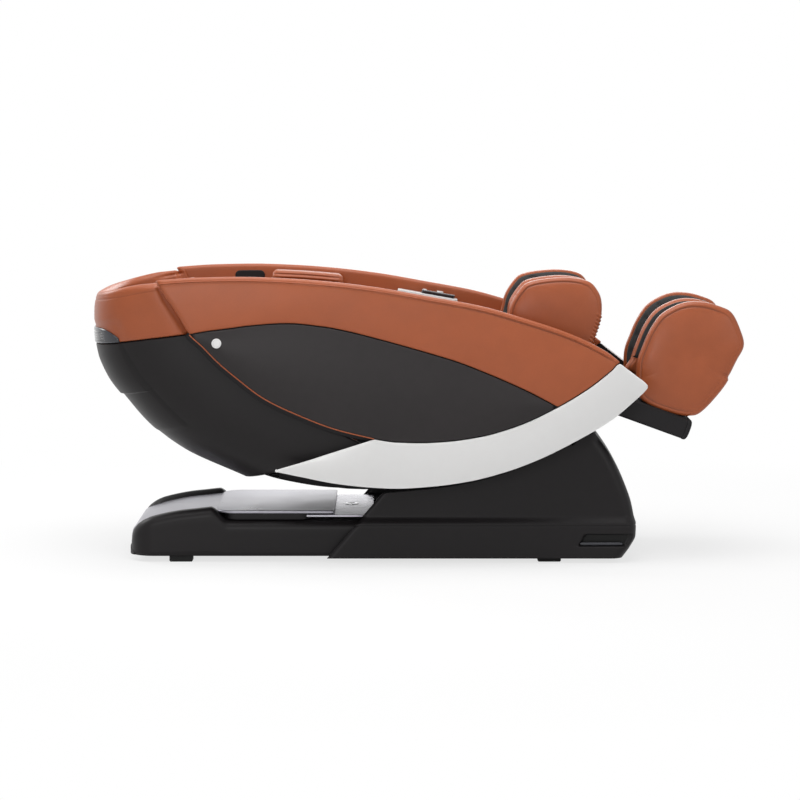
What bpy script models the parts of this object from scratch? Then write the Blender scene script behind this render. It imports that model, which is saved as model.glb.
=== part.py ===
"""Zero gravity massage chair, laid back: a leather pod on a gliding base, with a jointed backrest,
a legrest and a sliding foot unit. Metres, +X towards the feet, -Y the sitter's right, +Z up."""

import math

import bmesh
import bpy
import numpy as np
from mathutils import Matrix, Vector

# Fits between pieces
FIT = 0.0003
BORE_PLAY = 0.0004
PANEL_GAP = 0.0015

# Pod widths and walls
POD_HALF = 0.400
POD_BOW = 0.015
BOW_MIDDLE = -0.15
BOW_REACH = 0.75
PANEL_WALL = 0.012
CARCASS_WALL = 0.008
EDGE_INSET = 0.006

# Side outlines seen square on, as x and z
RIM = [(-0.745, 0.832), (-0.62, 0.840), (-0.50, 0.842), (-0.376, 0.838), (-0.254, 0.829), (-0.12, 0.813),
       (0.036, 0.786), (0.18, 0.759), (0.301, 0.725), (0.432, 0.681), (0.541, 0.628), (0.578, 0.600)]
BAND_FOOT = [(-0.650, 0.677), (-0.607, 0.685), (-0.539, 0.694), (-0.470, 0.703), (-0.37, 0.709),
             (-0.265, 0.699), (-0.197, 0.686), (-0.095, 0.660), (0.008, 0.631), (0.111, 0.600),
             (0.213, 0.560), (0.316, 0.514), (0.402, 0.469)]
SEAM = [(-0.745, 0.832), (-0.723, 0.790), (-0.703, 0.760), (-0.681, 0.726), (-0.664, 0.697),
        (-0.650, 0.677), (-0.616, 0.646), (-0.571, 0.600), (-0.517, 0.554), (-0.437, 0.494),
        (-0.335, 0.445), (-0.232, 0.406), (-0.123, 0.379)]
BLADE_TOP = [(-0.407, 0.290), (-0.335, 0.311), (-0.232, 0.344), (-0.123, 0.379), (-0.060, 0.370),
             (0.008, 0.368), (0.077, 0.371), (0.180, 0.385), (0.282, 0.414), (0.385, 0.460),
             (0.487, 0.520), (0.556, 0.574), (0.578, 0.594), (0.600, 0.580), (0.632, 0.556), (0.660, 0.536)]
BLADE_FOOT = [(-0.407, 0.284), (-0.335, 0.269), (-0.232, 0.249), (-0.129, 0.238), (-0.060, 0.235),
              (0.043, 0.241), (0.146, 0.255), (0.249, 0.281), (0.351, 0.319), (0.454, 0.370),
              (0.557, 0.431), (0.625, 0.488), (0.660, 0.520)]
BLADE_SPLIT = -0.123
PANEL_TAIL = -0.640
CAP_PLACE = (-0.572, 0.653)
CAP_RADIUS = 0.014
CAP_HEIGHT = 0.004

# Back hull: level by level, the front lap and the rearmost line, each as x and z
HULL_LAP = [(-0.722, 0.829), (-0.700, 0.788), (-0.658, 0.726), (-0.628, 0.681), (-0.592, 0.646),
            (-0.548, 0.600), (-0.494, 0.554), (-0.414, 0.494), (-0.300, 0.430), (-0.140, 0.352)]
HULL_KEEL = [(-0.940, 0.792), (-0.946, 0.737), (-0.946, 0.677), (-0.9435, 0.636), (-0.9360, 0.603),
             (-0.907, 0.542), (-0.858, 0.478), (-0.788, 0.397), (-0.690, 0.322), (-0.515, 0.242)]
HULL_SPLIT = 3.0
HULL_SPLIT_GAP = 0.035
HULL_POWER = 3.4
HULL_SIDE_GAP = 0.008
BAND_WALL = 0.034
SHELL_WALL = 0.012
HULL_COLUMNS = 26
VENT_COLUMNS = 16
VENT_LEVELS = (1.85, 2.95)
VENT_END = 0.30
VENT_TURN = 2 * VENT_COLUMNS / HULL_COLUMNS
VENT_WALL = 0.004

# Joint axes as x and z, and the legrest's slope
TILT_AXIS = (0.310, 0.150)
HIP_AXIS = (-0.064, 0.400)
KNEE_AXIS = (0.420, 0.523)
LEG_SLOPE = math.radians(20.0)
PIN_RADIUS = 0.0125
LUG_RADIUS = 0.030
LUG_WALL = 0.010

# Seat frame
PLATE_INNER = 0.286
TUBE_RADIUS = 0.016
SEAT_TUBES = [(0.040, 0.2605), (0.300, 0.395)]
TILT_LUG_INNER = 0.095
TILT_LUG_WALL = 0.020
STUB_PLACES = [(0.060, 0.345), (0.340, 0.440)]

# Seat and back cushions: the sitting faces start at these points and run at these slopes
SEAT_START = (-0.075, 0.335)
SEAT_SLOPE = math.radians(37.0)
SEAT_LENGTH = 0.405
SEAT_THICK = 0.095
SEAT_HALF = 0.250
SEAT_PAN = 0.006
PAN_SPAN = (-0.012, 0.395)
BACK_START = (-0.742, 0.791)
BACK_SLOPE = math.radians(35.4)
BACK_LENGTH = 0.770
BACK_THICK = 0.095
BACK_HALF_WIDTH = 0.246
SHOULDER_SET = 0.100
SHOULDER_WIDEN = POD_HALF - SHOULDER_SET - BACK_HALF_WIDTH
SHOULDER_REACH = (0.200, 0.310)
PILLOW_SPAN = (0.030, 0.220)
PILLOW_HALF = 0.165
PILLOW_THICK = 0.052

# Arms
ARM_SPAN = (-0.215, 0.360)
ARM_DROP = 0.062
ARM_HEIGHT = 0.190
ARM_SET = 0.100
ARM_INNER = POD_HALF - ARM_SET
SHOULDER_SPAN = (-0.445, -0.225)
SHOULDER_DROP = 0.014
SHOULDER_HEIGHT = 0.110
SHOULDER_RIBS = 3

# Hand control on the far arm
TRAY_SPAN = (-0.060, 0.125)
TRAY_THICK = 0.026
TRAY_EDGE = 0.004
TRAY_INNER = ARM_INNER + TRAY_EDGE
TRAY_WIDTH = 0.058
REMOTE_LENGTH = 0.105
REMOTE_THICK = 0.011
REMOTE_WIDTH = 0.046
KEY_SIZE = (0.020, 0.022)
KEY_PROUD = 0.003
KEY_DEPTH = 0.006

# Belly
BELLY = [(-0.400, 0.251), (-0.350, 0.240), (-0.241, 0.222), (-0.160, 0.216), (-0.060, 0.222),
         (0.000, 0.228)]
BELLY_POST_AT = 0.200
BELLY_POST_HALF = 0.020
BELLY_HALF = 0.282
BELLY_LIP = 0.026
BELLY_WALL = 0.006

# Back frame and massage carriage, in the back cushion's own directions
TRACK_DEPTH = 0.160
TRACK_HALF = 0.130
TRACK_RADIUS = 0.012
TRACK_SPAN = (0.110, 0.680)
BEAM_SIZE = 0.034
REST_AT = 0.200
SIDE_BAR_AT = 0.236
SIDE_BAR_RADIUS = 0.010
REST_HALF = 0.011
HULL_BEAMS = (0.200, 0.450)
HULL_SEAT = 0.0006
HIP_PLATE_INNER = 0.264
MASSAGE_REST = 0.390
MASSAGE_LENGTH = 0.070
MASSAGE_THICK = 0.040
MASSAGE_ROLLER = 0.026
MASSAGE_SPREAD = 0.030
MASSAGE_ROLLER_WIDTH = 0.034
MASSAGE_CLEAR = 0.008
AXLE_RADIUS = 0.006

# Legrest and foot unit, in the legrest's own directions from the knee axis
BAR_SPAN = (-0.060, 0.394)
BAR_HALF_HEIGHT = 0.030
BAR_HALF = 0.255
CALF_BED = (-0.170, 0.050)
BED_THICK = 0.055
LEG_HALF = 0.260
WING_WIDTH = 0.046
CALF_WING = [(-0.176, 0.050), (-0.216, 0.145), (-0.207, 0.217), (-0.180, 0.252), (-0.100, 0.292),
             (-0.032, 0.306), (0.005, 0.290), (0.028, 0.262), (0.042, 0.215), (0.044, 0.138),
             (0.034, 0.050)]
FOOT_WING = [(0.215, 0.062), (0.188, 0.129), (0.186, 0.187), (0.190, 0.240), (0.206, 0.292),
             (0.250, 0.340), (0.300, 0.362), (0.355, 0.368), (0.395, 0.362), (0.434, 0.326),
             (0.4605, 0.286), (0.456, 0.236), (0.445, 0.157), (0.412, 0.070), (0.382, 0.044),
             (0.330, 0.034), (0.254, 0.036)]
FOOT_BED = [(0.236, 0.034), (0.382, 0.034), (0.424, 0.075), (0.446, 0.160), (0.408, 0.160),
            (0.390, 0.098), (0.372, 0.082), (0.236, 0.082)]
DIVIDER_HALF = 0.028
CALF_DIVIDER = [(-0.160, 0.092), (-0.206, 0.147), (-0.197, 0.214), (-0.171, 0.247), (-0.095, 0.285),
                (-0.030, 0.297), (0.005, 0.282), (0.026, 0.254), (0.038, 0.210), (0.039, 0.138), (0.034, 0.092)]
FOOT_DIVIDER = [(0.200, 0.083), (0.193, 0.130), (0.192, 0.187), (0.196, 0.238), (0.212, 0.288), (0.254, 0.333),
                (0.301, 0.354), (0.353, 0.359), (0.391, 0.353), (0.427, 0.320), (0.450, 0.284), (0.447, 0.236),
                (0.437, 0.174), (0.404, 0.174), (0.381, 0.105), (0.362, 0.083)]
DIVIDER_RINGS = [(0.86, -1.0), (0.97, -0.8), (1.0, -0.35), (1.0, 0.35), (0.97, 0.8), (0.86, 1.0)]
GUIDE_HALF = 0.120
GUIDE_RADIUS = 0.010
GUIDE_SLOT = (0.205, 0.380)
GUIDE_SLOT_HALF = 0.020
GUIDE_SEAT = 0.009
KEEL_SPAN = (0.318, 0.366)
KEEL_HALF = 0.017
FOOT_ROLLER = 0.020
FOOT_ROLLER_AT = 0.300
FOOT_LUG_WALL = 0.006
FOOT_LUG_INNER = 0.034
FOOT_LUG_OUTER = 0.196

# Base
FLOOR_FOOT = 0.030
FRAME_TOP = 0.075
RAIL_OUTER = 0.210
RAIL_INNER = 0.165
FRAME_SPAN = (-0.755, 0.430)
FRAME_HOLES = [(-0.715, -0.420), (-0.380, -0.020), (0.020, 0.385)]
FOOT_LENGTH = 0.068
FOOT_WIDTH = 0.042
REAR_FEET_AT = -0.690
FRONT_FEET_AT = 0.388
EAR = (0.155, 0.180)
WHEEL_AT = (-0.785, 0.044)
WHEEL_RADIUS = 0.028
WHEEL_WIDTH = 0.022
COVER = [(-0.826, 0.018), (-0.839, 0.036), (-0.840, 0.060), (-0.832, 0.090), (-0.812, 0.112),
         (-0.776, 0.130), (-0.706, 0.146), (-0.640, 0.154), (-0.592, 0.160)]
COVER_LOW = 0.123
COVER_HALF = 0.250
COVER_WALL = 0.004
OUTRIGGER = COVER_HALF - COVER_WALL - FIT
COVER_SHEET_END = -0.310
COVER_END = -0.100
COVER_CORNER = 0.070
CUT_PAST = 0.060
PLATE_Z = (0.142, 0.150)
PLATE_END = -0.242
PLATE_HALF = 0.240
PLATE_LIP = 0.008
INLET_AT = (-0.660, 0.085)
INLET_SIZE = (0.076, 0.040, 0.010)
ROCKER_SIZE = (0.018, 0.026)

# Carriage and shroud
CARRIAGE_TOP = 0.112
CARRIAGE_SPAN = (-0.200, 0.430)
CARRIAGE_HOLES = [(-0.095, 0.160), (0.215, 0.375)]
CARRIAGE_LUG_GAP = 0.003
SLIDE_Z = (0.130, 0.136)
SLIDE_SPAN = (-0.400, -0.128)
SLIDE_HALF = 0.228
SLIDE_POST = (-0.166, -0.134)
SHROUD_INNER = 0.2535
CHEEK_OUTER = 0.262
SKIRT_OUTER = 0.275
SHROUD_WALL = 0.010
SHROUD_FOOT = 0.014
SHROUD_TAIL = (-0.262, -0.100)
SHROUD_TOP = [(-0.100, 0.205), (0.000, 0.213), (0.100, 0.226), (0.200, 0.247), (0.300, 0.281),
              (0.400, 0.324), (0.521, 0.383)]
SHROUD_FRONT = [(0.575, 0.305), (0.609, 0.236), (0.633, 0.166), (0.641, 0.113), (0.640, 0.080),
                (0.624, 0.046)]
SHROUD_TOE = 0.601
SKIRT_TOP = 0.112
SKIRT_LAP = 0.002
LEDGE_RISE = 0.026
RECESS = (0.465, 0.600, 0.046, 0.087)
RECESS_DEPTH = 0.006
MOTOR_SPAN = (0.060, 0.190)
MOTOR_HALF = 0.075
MOTOR_TOP = 0.185

SIDES = {"left": 1, "right": -1}
AROUND_Y = Matrix.Rotation(math.pi / 2, 4, "X")


def smooth(points):
    """A curve through the points, without overshoot, as a function of their first value."""
    xs, ys = np.array(points, float).T
    steps = np.diff(xs)
    rises = np.diff(ys) / steps
    product = rises[:-1] * rises[1:]
    total = np.where(product > 0, rises[:-1] + rises[1:], 1.0)
    slopes = np.concatenate([rises[:1], np.where(product > 0, 2 * product / total, 0.0), rises[-1:]])

    def at(x):
        i = int(np.clip(np.searchsorted(xs, x) - 1, 0, len(steps) - 1))
        t = (x - xs[i]) / steps[i]
        near = ys[i] * (1 + 2 * t) * (1 - t) ** 2 + ys[i + 1] * t * t * (3 - 2 * t)
        return near + steps[i] * (slopes[i] * t * (1 - t) ** 2 - slopes[i + 1] * t * t * (1 - t))

    return at


def side_face(x):
    """Half width of the pod's outer face, bowed in towards both ends."""
    return POD_HALF - POD_BOW * ((x - BOW_MIDDLE) / BOW_REACH) ** 2


def carcass_outer(x):
    return side_face(x) - PANEL_WALL - FIT


def carcass_inner(x):
    return carcass_outer(x) - CARCASS_WALL


class Group:
    """An empty on a joint axis that carries the pieces of one body."""

    def __init__(self, name, place, parent=None, turn=0.0):
        self.world = Matrix.Translation(place) @ Matrix.Rotation(turn, 4, "Y")
        self.empty = bpy.data.objects.new(name, None)
        PARTS.objects.link(self.empty)
        self.empty.empty_display_size = 0.05
        if parent:
            self.empty.parent = parent.empty
            self.empty.matrix_basis = parent.world.inverted() @ self.world
        else:
            self.empty.matrix_basis = self.world


def finish(name, colour, roughness, metallic=0.0):
    made = bpy.data.materials.new(name)
    made.use_nodes = True
    shader = made.node_tree.nodes["Principled BSDF"]
    shader.inputs["Base Color"].default_value = (*colour, 1.0)
    shader.inputs["Roughness"].default_value = roughness
    shader.inputs["Metallic"].default_value = metallic
    return made


def as_object(name, mesh, group, own_frame, collection):
    made = bpy.data.objects.new(name, mesh)
    collection.objects.link(made)
    made.parent = group.empty
    if not own_frame:
        mesh.transform(group.world.inverted())
    return made


def part(name, mesh, group, look, own_frame=False):
    """A piece of the chair. The mesh is in world places, or in the group's own frame."""
    made = as_object(name, mesh, group, own_frame, PARTS)
    colour, roughness, metallic = LOOKS[look]
    mesh.materials.clear()
    mesh.materials.append(finish(name, colour, roughness, metallic))
    return made


def helper(mesh, group, own_frame=False):
    made = as_object("helper", mesh, group, own_frame, HELPERS)
    made.hide_render = True
    made.display_type = "WIRE"
    return made


def boolean(target, other, operation):
    change = target.modifiers.new(operation.lower(), "BOOLEAN")
    change.solver = "EXACT"
    change.operation = operation
    change.object = other


def solidify(target, wall, offset):
    shell = target.modifiers.new("wall", "SOLIDIFY")
    shell.thickness = wall
    shell.offset = offset
    shell.use_even_offset = False


def bevel(target, width, segments=1, angle=math.radians(50)):
    edge = target.modifiers.new("edge", "BEVEL")
    edge.width = width
    edge.segments = segments
    edge.limit_method = "ANGLE"
    edge.angle_limit = angle


def finished(form):
    mesh = bpy.data.meshes.new("form")
    form.to_mesh(mesh)
    form.free()
    return mesh


def outwards(form):
    """The mesh of a closed form, with every face turned outwards."""
    form.normal_update()
    bmesh.ops.recalc_face_normals(form, faces=form.faces)
    if form.calc_volume(signed=True) < 0:
        bmesh.ops.reverse_faces(form, faces=form.faces)
    return finished(form)


def sheet(columns, rows, place):
    """An open grid with each point set by place(u, v), both 0..1."""
    form = bmesh.new()
    bmesh.ops.create_grid(form, x_segments=columns, y_segments=rows, size=0.5)
    for vert in form.verts:
        vert.co = place(vert.co.x + 0.5, vert.co.y + 0.5)
    return finished(form)


def block(cuts, place):
    """A closed block cut into a grid on each side, with each point set by place(a, b, c), all -1..1."""
    form = bmesh.new()
    bmesh.ops.create_cube(form, size=2.0)
    for axis in range(3):
        if cuts[axis]:
            along = [e for e in form.edges if abs((e.verts[0].co - e.verts[1].co)[axis]) > 1e-6]
            bmesh.ops.subdivide_edges(form, edges=along, cuts=cuts[axis], use_grid_fill=True)
    for vert in form.verts:
        vert.co = place(*vert.co)
    return outwards(form)


def box(low, high):
    return block((0, 0, 0), lambda *ends: [
        l + (h - l) * (e + 1) / 2 for l, h, e in zip(low, high, ends)])


def plate(outlines, low, high, across="y"):
    """A flat outline, with any further outlines as holes, between two values along y or z."""
    curve = bpy.data.curves.new("outline", "CURVE")
    curve.dimensions = "2D"
    curve.fill_mode = "BOTH"
    curve.extrude = (high - low) / 2
    for outline in outlines:
        spline = curve.splines.new("POLY")
        spline.points.add(len(outline) - 1)
        for point, (a, b) in zip(spline.points, outline):
            point.co = (a, b, 0.0, 1.0)
        spline.use_cyclic_u = True
    guide = bpy.data.objects.new("outline", curve)
    form = bmesh.new()
    form.from_mesh(bpy.data.meshes.new_from_object(guide))
    bpy.data.objects.remove(guide)
    bmesh.ops.remove_doubles(form, verts=form.verts, dist=1e-6)
    middle = (low + high) / 2
    if across == "y":
        form.transform(Matrix.Translation((0, middle, 0)) @ AROUND_Y)
    else:
        form.transform(Matrix.Translation((0, 0, middle)))
    return outwards(form)


def rod(radius, start, end, sides=14):
    """A round bar between two points."""
    start, end = Vector(start), Vector(end)
    along = end - start
    turn = along.to_track_quat("Z", "Y").to_matrix().to_4x4()
    form = bmesh.new()
    bmesh.ops.create_cone(form, cap_ends=True, segments=sides, radius1=radius, radius2=radius,
                          depth=along.length, matrix=Matrix.Translation((start + end) / 2) @ turn)
    return finished(form)


def cross_rod(radius, x, z, low, high, sides=14):
    return rod(radius, (x, low, z), (x, high, z), sides)


def turned(profile, place, sides=18):
    """A solid turned about an axis along y: the profile gives radius and y, from axis to axis."""
    form = bmesh.new()
    verts = [form.verts.new((r, y, 0.0)) for r, y in profile]
    edges = [form.edges.new(pair) for pair in zip(verts, verts[1:])]
    bmesh.ops.spin(form, geom=verts + edges, axis=(0, 1, 0), cent=(0, 0, 0), steps=sides,
                   angle=2 * math.pi, use_merge=True)
    bmesh.ops.remove_doubles(form, verts=form.verts, dist=1e-6)
    form.transform(Matrix.Translation(place))
    return outwards(form)


def arc(centre, radius, start, end, steps):
    turns = np.radians(np.linspace(start, end, steps))
    return [(centre[0] + radius * math.cos(t), centre[1] + radius * math.sin(t)) for t in turns]


def mirrored(upper):
    """A closed outline from its half on the positive side."""
    return upper + [(x, -y) for x, y in reversed(upper)]


def round_box(half, radius, point):
    """Rounds the edges of a box, given a point on its plain faces."""
    core = [min(max(p, r - h), h - r) for p, h, r in zip(point, half, (radius,) * 3)]
    out = Vector(point) - Vector(core)
    return Vector(core) + out.normalized() * radius if out.length > 1e-9 else Vector(core)


def pad(half, radius, crown, draw, channel=None):
    """A cushion's form: rounded box with a crowned face up, sides drawn in between its corners."""
    def place(a, b, c):
        point = round_box(half, radius, (a * half[0], b * half[1], c * half[2]))
        swell = (1 - a * a) * (1 - b * b)
        if c > 0:
            point.z += c * crown * swell
            point.z -= c * (channel(a, b) if channel else 0.0)
        point.x *= 1 - draw * (1 - b * b) * abs(a) ** 3
        point.y *= 1 - draw * (1 - a * a) * abs(b) ** 3
        return point
    return place


def outline_pad(outline, inner, outer, crown, steps):
    """A padded panel of the given outline between two y faces: rings from its middle, crowned outwards."""
    points = np.array(outline)
    middle = points.mean(axis=0)
    form = bmesh.new()
    sign = 1 if outer > inner else -1
    rings = []
    for share, depth in steps:
        y_out = outer - sign * crown * (1 - depth)
        rings.append([form.verts.new((middle[0] + (x - middle[0]) * share, y_out,
                                      middle[1] + (z - middle[1]) * share)) for x, z in points])
    rings.append([form.verts.new((x, inner, z)) for x, z in middle + (points - middle) * 0.985])
    for first, second in zip(rings, rings[1:]):
        for i in range(len(points)):
            j = (i + 1) % len(points)
            form.faces.new((first[i], first[j], second[j], second[i]))
    form.faces.new(rings[0])
    form.faces.new(rings[-1])
    return outwards(form)


def closed_curve(points, per_span):
    """More points on a smooth closed curve through the given ones."""
    p = np.array(points)
    out = []
    for i in range(len(p)):
        a, b, c, d = p[i - 1], p[i], p[(i + 1) % len(p)], p[(i + 2) % len(p)]
        for t in np.arange(per_span) / per_span:
            out.append(tuple(0.5 * (2 * b + (c - a) * t + (2 * a - 5 * b + 4 * c - d) * t * t
                                    + (3 * b - a - 3 * c + d) * t ** 3)))
    return out


def tilted(start, slope):
    """Places of a frame that starts at a point and runs at a slope: along, y, outwards."""
    along = Vector((math.cos(slope), 0, math.sin(slope)))
    out = Vector((-math.sin(slope), 0, math.cos(slope)))
    origin = Vector((start[0], 0, start[1]))
    return lambda a, y, n: origin + along * a + Vector((0, y, 0)) + out * n


rim, band_edge = smooth(RIM), smooth(BAND_FOOT)
seam, blade_top, blade_foot = smooth(SEAM), smooth(BLADE_TOP), smooth(BLADE_FOOT)
seam_at_height = smooth([(z, x) for x, z in reversed(SEAM)])
belly_line = smooth(BELLY)
lap_x, lap_z = (smooth(list(enumerate(v))) for v in zip(*HULL_LAP))
keel_x, keel_z = (smooth(list(enumerate(v))) for v in zip(*HULL_KEEL))
HULL_HALF = side_face(SEAM[0][0]) - PANEL_WALL - FIT - CARCASS_WALL - HULL_SIDE_GAP
HULL_END = len(HULL_LAP) - 1
seat_place = tilted(SEAT_START, SEAT_SLOPE)
back_place = tilted(BACK_START, -BACK_SLOPE)


def hull_point(turn, level):
    """A point of the back hull: turn -1..1 from the right lap round the rear to the left lap."""
    angle = turn * math.pi / 2
    share = math.cos(angle) ** (2 / HULL_POWER)
    y = math.copysign(abs(math.sin(angle)) ** (2 / HULL_POWER), angle) * HULL_HALF
    x = lap_x(level) + (keel_x(level) - lap_x(level)) * share
    z = lap_z(level) + (keel_z(level) - lap_z(level)) * share
    return Vector((x, y, z))


def hull_outside(turn, level, by):
    """A point off the hull by a distance along its outward direction."""
    step = 0.01
    around = hull_point(turn + step, level) - hull_point(turn - step, level)
    down = hull_point(turn, level + step) - hull_point(turn, level - step)
    return hull_point(turn, level) + around.cross(down).normalized() * by


def hull_half_at(x, z):
    """Half width of the hull's outside where its side view has this point."""
    best, share = 1.0, 0.0
    for level in np.linspace(0, HULL_END, 400):
        lap = Vector((lap_x(level), lap_z(level)))
        along = Vector((keel_x(level), keel_z(level))) - lap
        at = (Vector((x, z)) - lap).dot(along) / along.length_squared
        off = (lap + along * at - Vector((x, z))).length
        if off < best:
            best, share = off, min(max(at, 0.0), 1.0)
    return HULL_HALF * (1 - share ** HULL_POWER) ** (1 / HULL_POWER)


def band_foot(x):
    return band_edge(x) if x < BAND_FOOT[-1][0] else blade_top(x)


def lens_foot(x):
    return seam(x) if x < BLADE_SPLIT else blade_top(x)


def carcass_foot(x):
    run = (x - BLADE_SPLIT) / 0.04
    foot = blade_foot(max(x, BLADE_SPLIT)) + EDGE_INSET
    upper = seam(min(x, BLADE_SPLIT)) + EDGE_INSET
    return upper + (foot - upper) * min(max(run, 0.0), 1.0)


def carcass_top(x):
    return (rim(x) if x < RIM[-1][0] else blade_top(x)) - EDGE_INSET


def side_panel(top, foot, left, right, columns, rows, sign, face):
    """An upright bowed sheet between two curves; left is a function of height share."""
    def place(u, v):
        x = left(v) + (right - left(v)) * u
        return (x, sign * face(x), foot(x) + (top(x) - foot(x)) * v)
    return sheet(columns, rows, place)


def build_sides():
    tail = seam_at_height
    for side, sign in SIDES.items():
        def left_edge(v):
            return tail(BAND_FOOT[0][1] + (RIM[0][1] - BAND_FOOT[0][1]) * v)
        band = part(f"arm_band_{side}", side_panel(
            rim, lambda x: band_foot(x) + PANEL_GAP, left_edge, RIM[-1][0], 26, 3, sign, side_face),
            POD, "leather")
        solidify(band, PANEL_WALL, sign)
        bevel(band, 0.004)
        lens = part(f"side_panel_{side}", side_panel(
            lambda x: band_foot(x) - PANEL_GAP, lambda x: lens_foot(x) + PANEL_GAP,
            lambda v: PANEL_TAIL, BAND_FOOT[-1][0] - 0.012, 24, 3, sign, side_face), POD, "gloss black")
        solidify(lens, PANEL_WALL, sign)
        blade = part(f"side_blade_{side}", side_panel(
            lambda x: blade_top(x) - PANEL_GAP, blade_foot, lambda v: BLADE_TOP[0][0],
            BLADE_TOP[-1][0], 30, 2, sign, side_face), POD, "silver")
        solidify(blade, PANEL_WALL, sign)
        bevel(blade, 0.003)
        carcass = part(f"side_carcass_{side}", side_panel(
            carcass_top, carcass_foot, lambda v: RIM[0][0] + EDGE_INSET + (1 - v) * 0.09,
            BLADE_TOP[-1][0] - EDGE_INSET, 30, 4, sign, carcass_outer), POD, "dark plastic")
        solidify(carcass, CARCASS_WALL, sign)
        x, z = CAP_PLACE
        seat = side_face(x - CAP_RADIUS * math.copysign(1, x - BOW_MIDDLE)) + FIT
        part(f"side_cap_{side}", cross_rod(CAP_RADIUS, x, z, *sorted((sign * seat, sign * (seat + CAP_HEIGHT)))),
             POD, "white")


def build_hull():
    band = part("head_band", sheet(HULL_COLUMNS, 4, lambda u, v: hull_point(
        2 * u - 1, (HULL_SPLIT - HULL_SPLIT_GAP) * (1 - v))), BACK, "leather")
    solidify(band, BAND_WALL, 1)
    shell = part("back_shell", sheet(HULL_COLUMNS, 8, lambda u, v: hull_point(
        2 * u - 1, HULL_SPLIT + HULL_SPLIT_GAP + (HULL_END - HULL_SPLIT - HULL_SPLIT_GAP) * (1 - v))),
        BACK, "satin black")
    solidify(shell, SHELL_WALL, 1)
    high, low = VENT_LEVELS

    def vent_point(u, v):
        turn = VENT_TURN * (2 * u - 1) / 2
        top = high + (low - VENT_END - high) * (2 * u - 1) ** 6
        return hull_outside(turn, low + (top - low) * v, 2 * FIT)
    vent = part("back_vent", sheet(VENT_COLUMNS, 4, vent_point), BACK, "gloss grey")
    solidify(vent, VENT_WALL, -1)


def build_seat_frame():
    outer = PLATE_INNER + LUG_WALL
    hip, knee = HIP_AXIS, KNEE_AXIS
    low, high = SEAT_TUBES
    outline = (arc(hip, LUG_RADIUS, 60, 200, 8) + arc(low, LUG_RADIUS, 200, 280, 6)
               + arc(high, LUG_RADIUS * 1.3, 280, 310, 4) + arc(knee, LUG_RADIUS, 310, 480, 10))
    frame = None
    for sign in SIDES.values():
        ends = sorted((sign * PLATE_INNER, sign * outer))
        flank = plate([outline], *ends)
        if frame is None:
            frame = part("seat_frame", flank, POD, "steel")
        else:
            boolean(frame, helper(flank, POD), "UNION")
        for x, z in (hip, knee):
            inner = HIP_PLATE_INNER - LUG_WALL if x == hip[0] else BAR_HALF - 0.025
            pin = cross_rod(PIN_RADIUS, x, z, *sorted((sign * inner, sign * (outer - 0.002))))
            boolean(frame, helper(pin, POD), "UNION")
        for x, z in STUB_PLACES:
            stub = cross_rod(TUBE_RADIUS, x, z, *sorted((sign * (PLATE_INNER + 0.002),
                                                         sign * (carcass_inner(x) - 2 * FIT))))
            boolean(frame, helper(stub, POD), "UNION")
        lug = plate([arc(TILT_AXIS, LUG_RADIUS, 170, 370, 10)
                     + [(high[0] + 0.02, high[1]), (high[0] - 0.05, high[1] + 0.004),
                        (low[0] - 0.01, low[1] + 0.006), (low[0] + 0.02, low[1] - 0.01)]],
                    *sorted((sign * TILT_LUG_INNER, sign * (TILT_LUG_INNER + TILT_LUG_WALL))))
        boolean(frame, helper(lug, POD), "UNION")
    for x, z in SEAT_TUBES:
        boolean(frame, helper(cross_rod(TUBE_RADIUS, x, z, -PLATE_INNER - 0.003, PLATE_INNER + 0.003), POD),
                "UNION")
    under = -SEAT_THICK - FIT
    reach = PLATE_INNER + 0.004
    pan = block((0, 0, 0), lambda a, b, c: seat_place(
        PAN_SPAN[a > 0], b * reach, under - SEAT_PAN * (c < 0)))
    boolean(frame, helper(pan, POD), "UNION")
    bore = PIN_RADIUS + BORE_PLAY
    boolean(frame, helper(cross_rod(bore, *TILT_AXIS, -POD_HALF, POD_HALF), POD), "DIFFERENCE")


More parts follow.
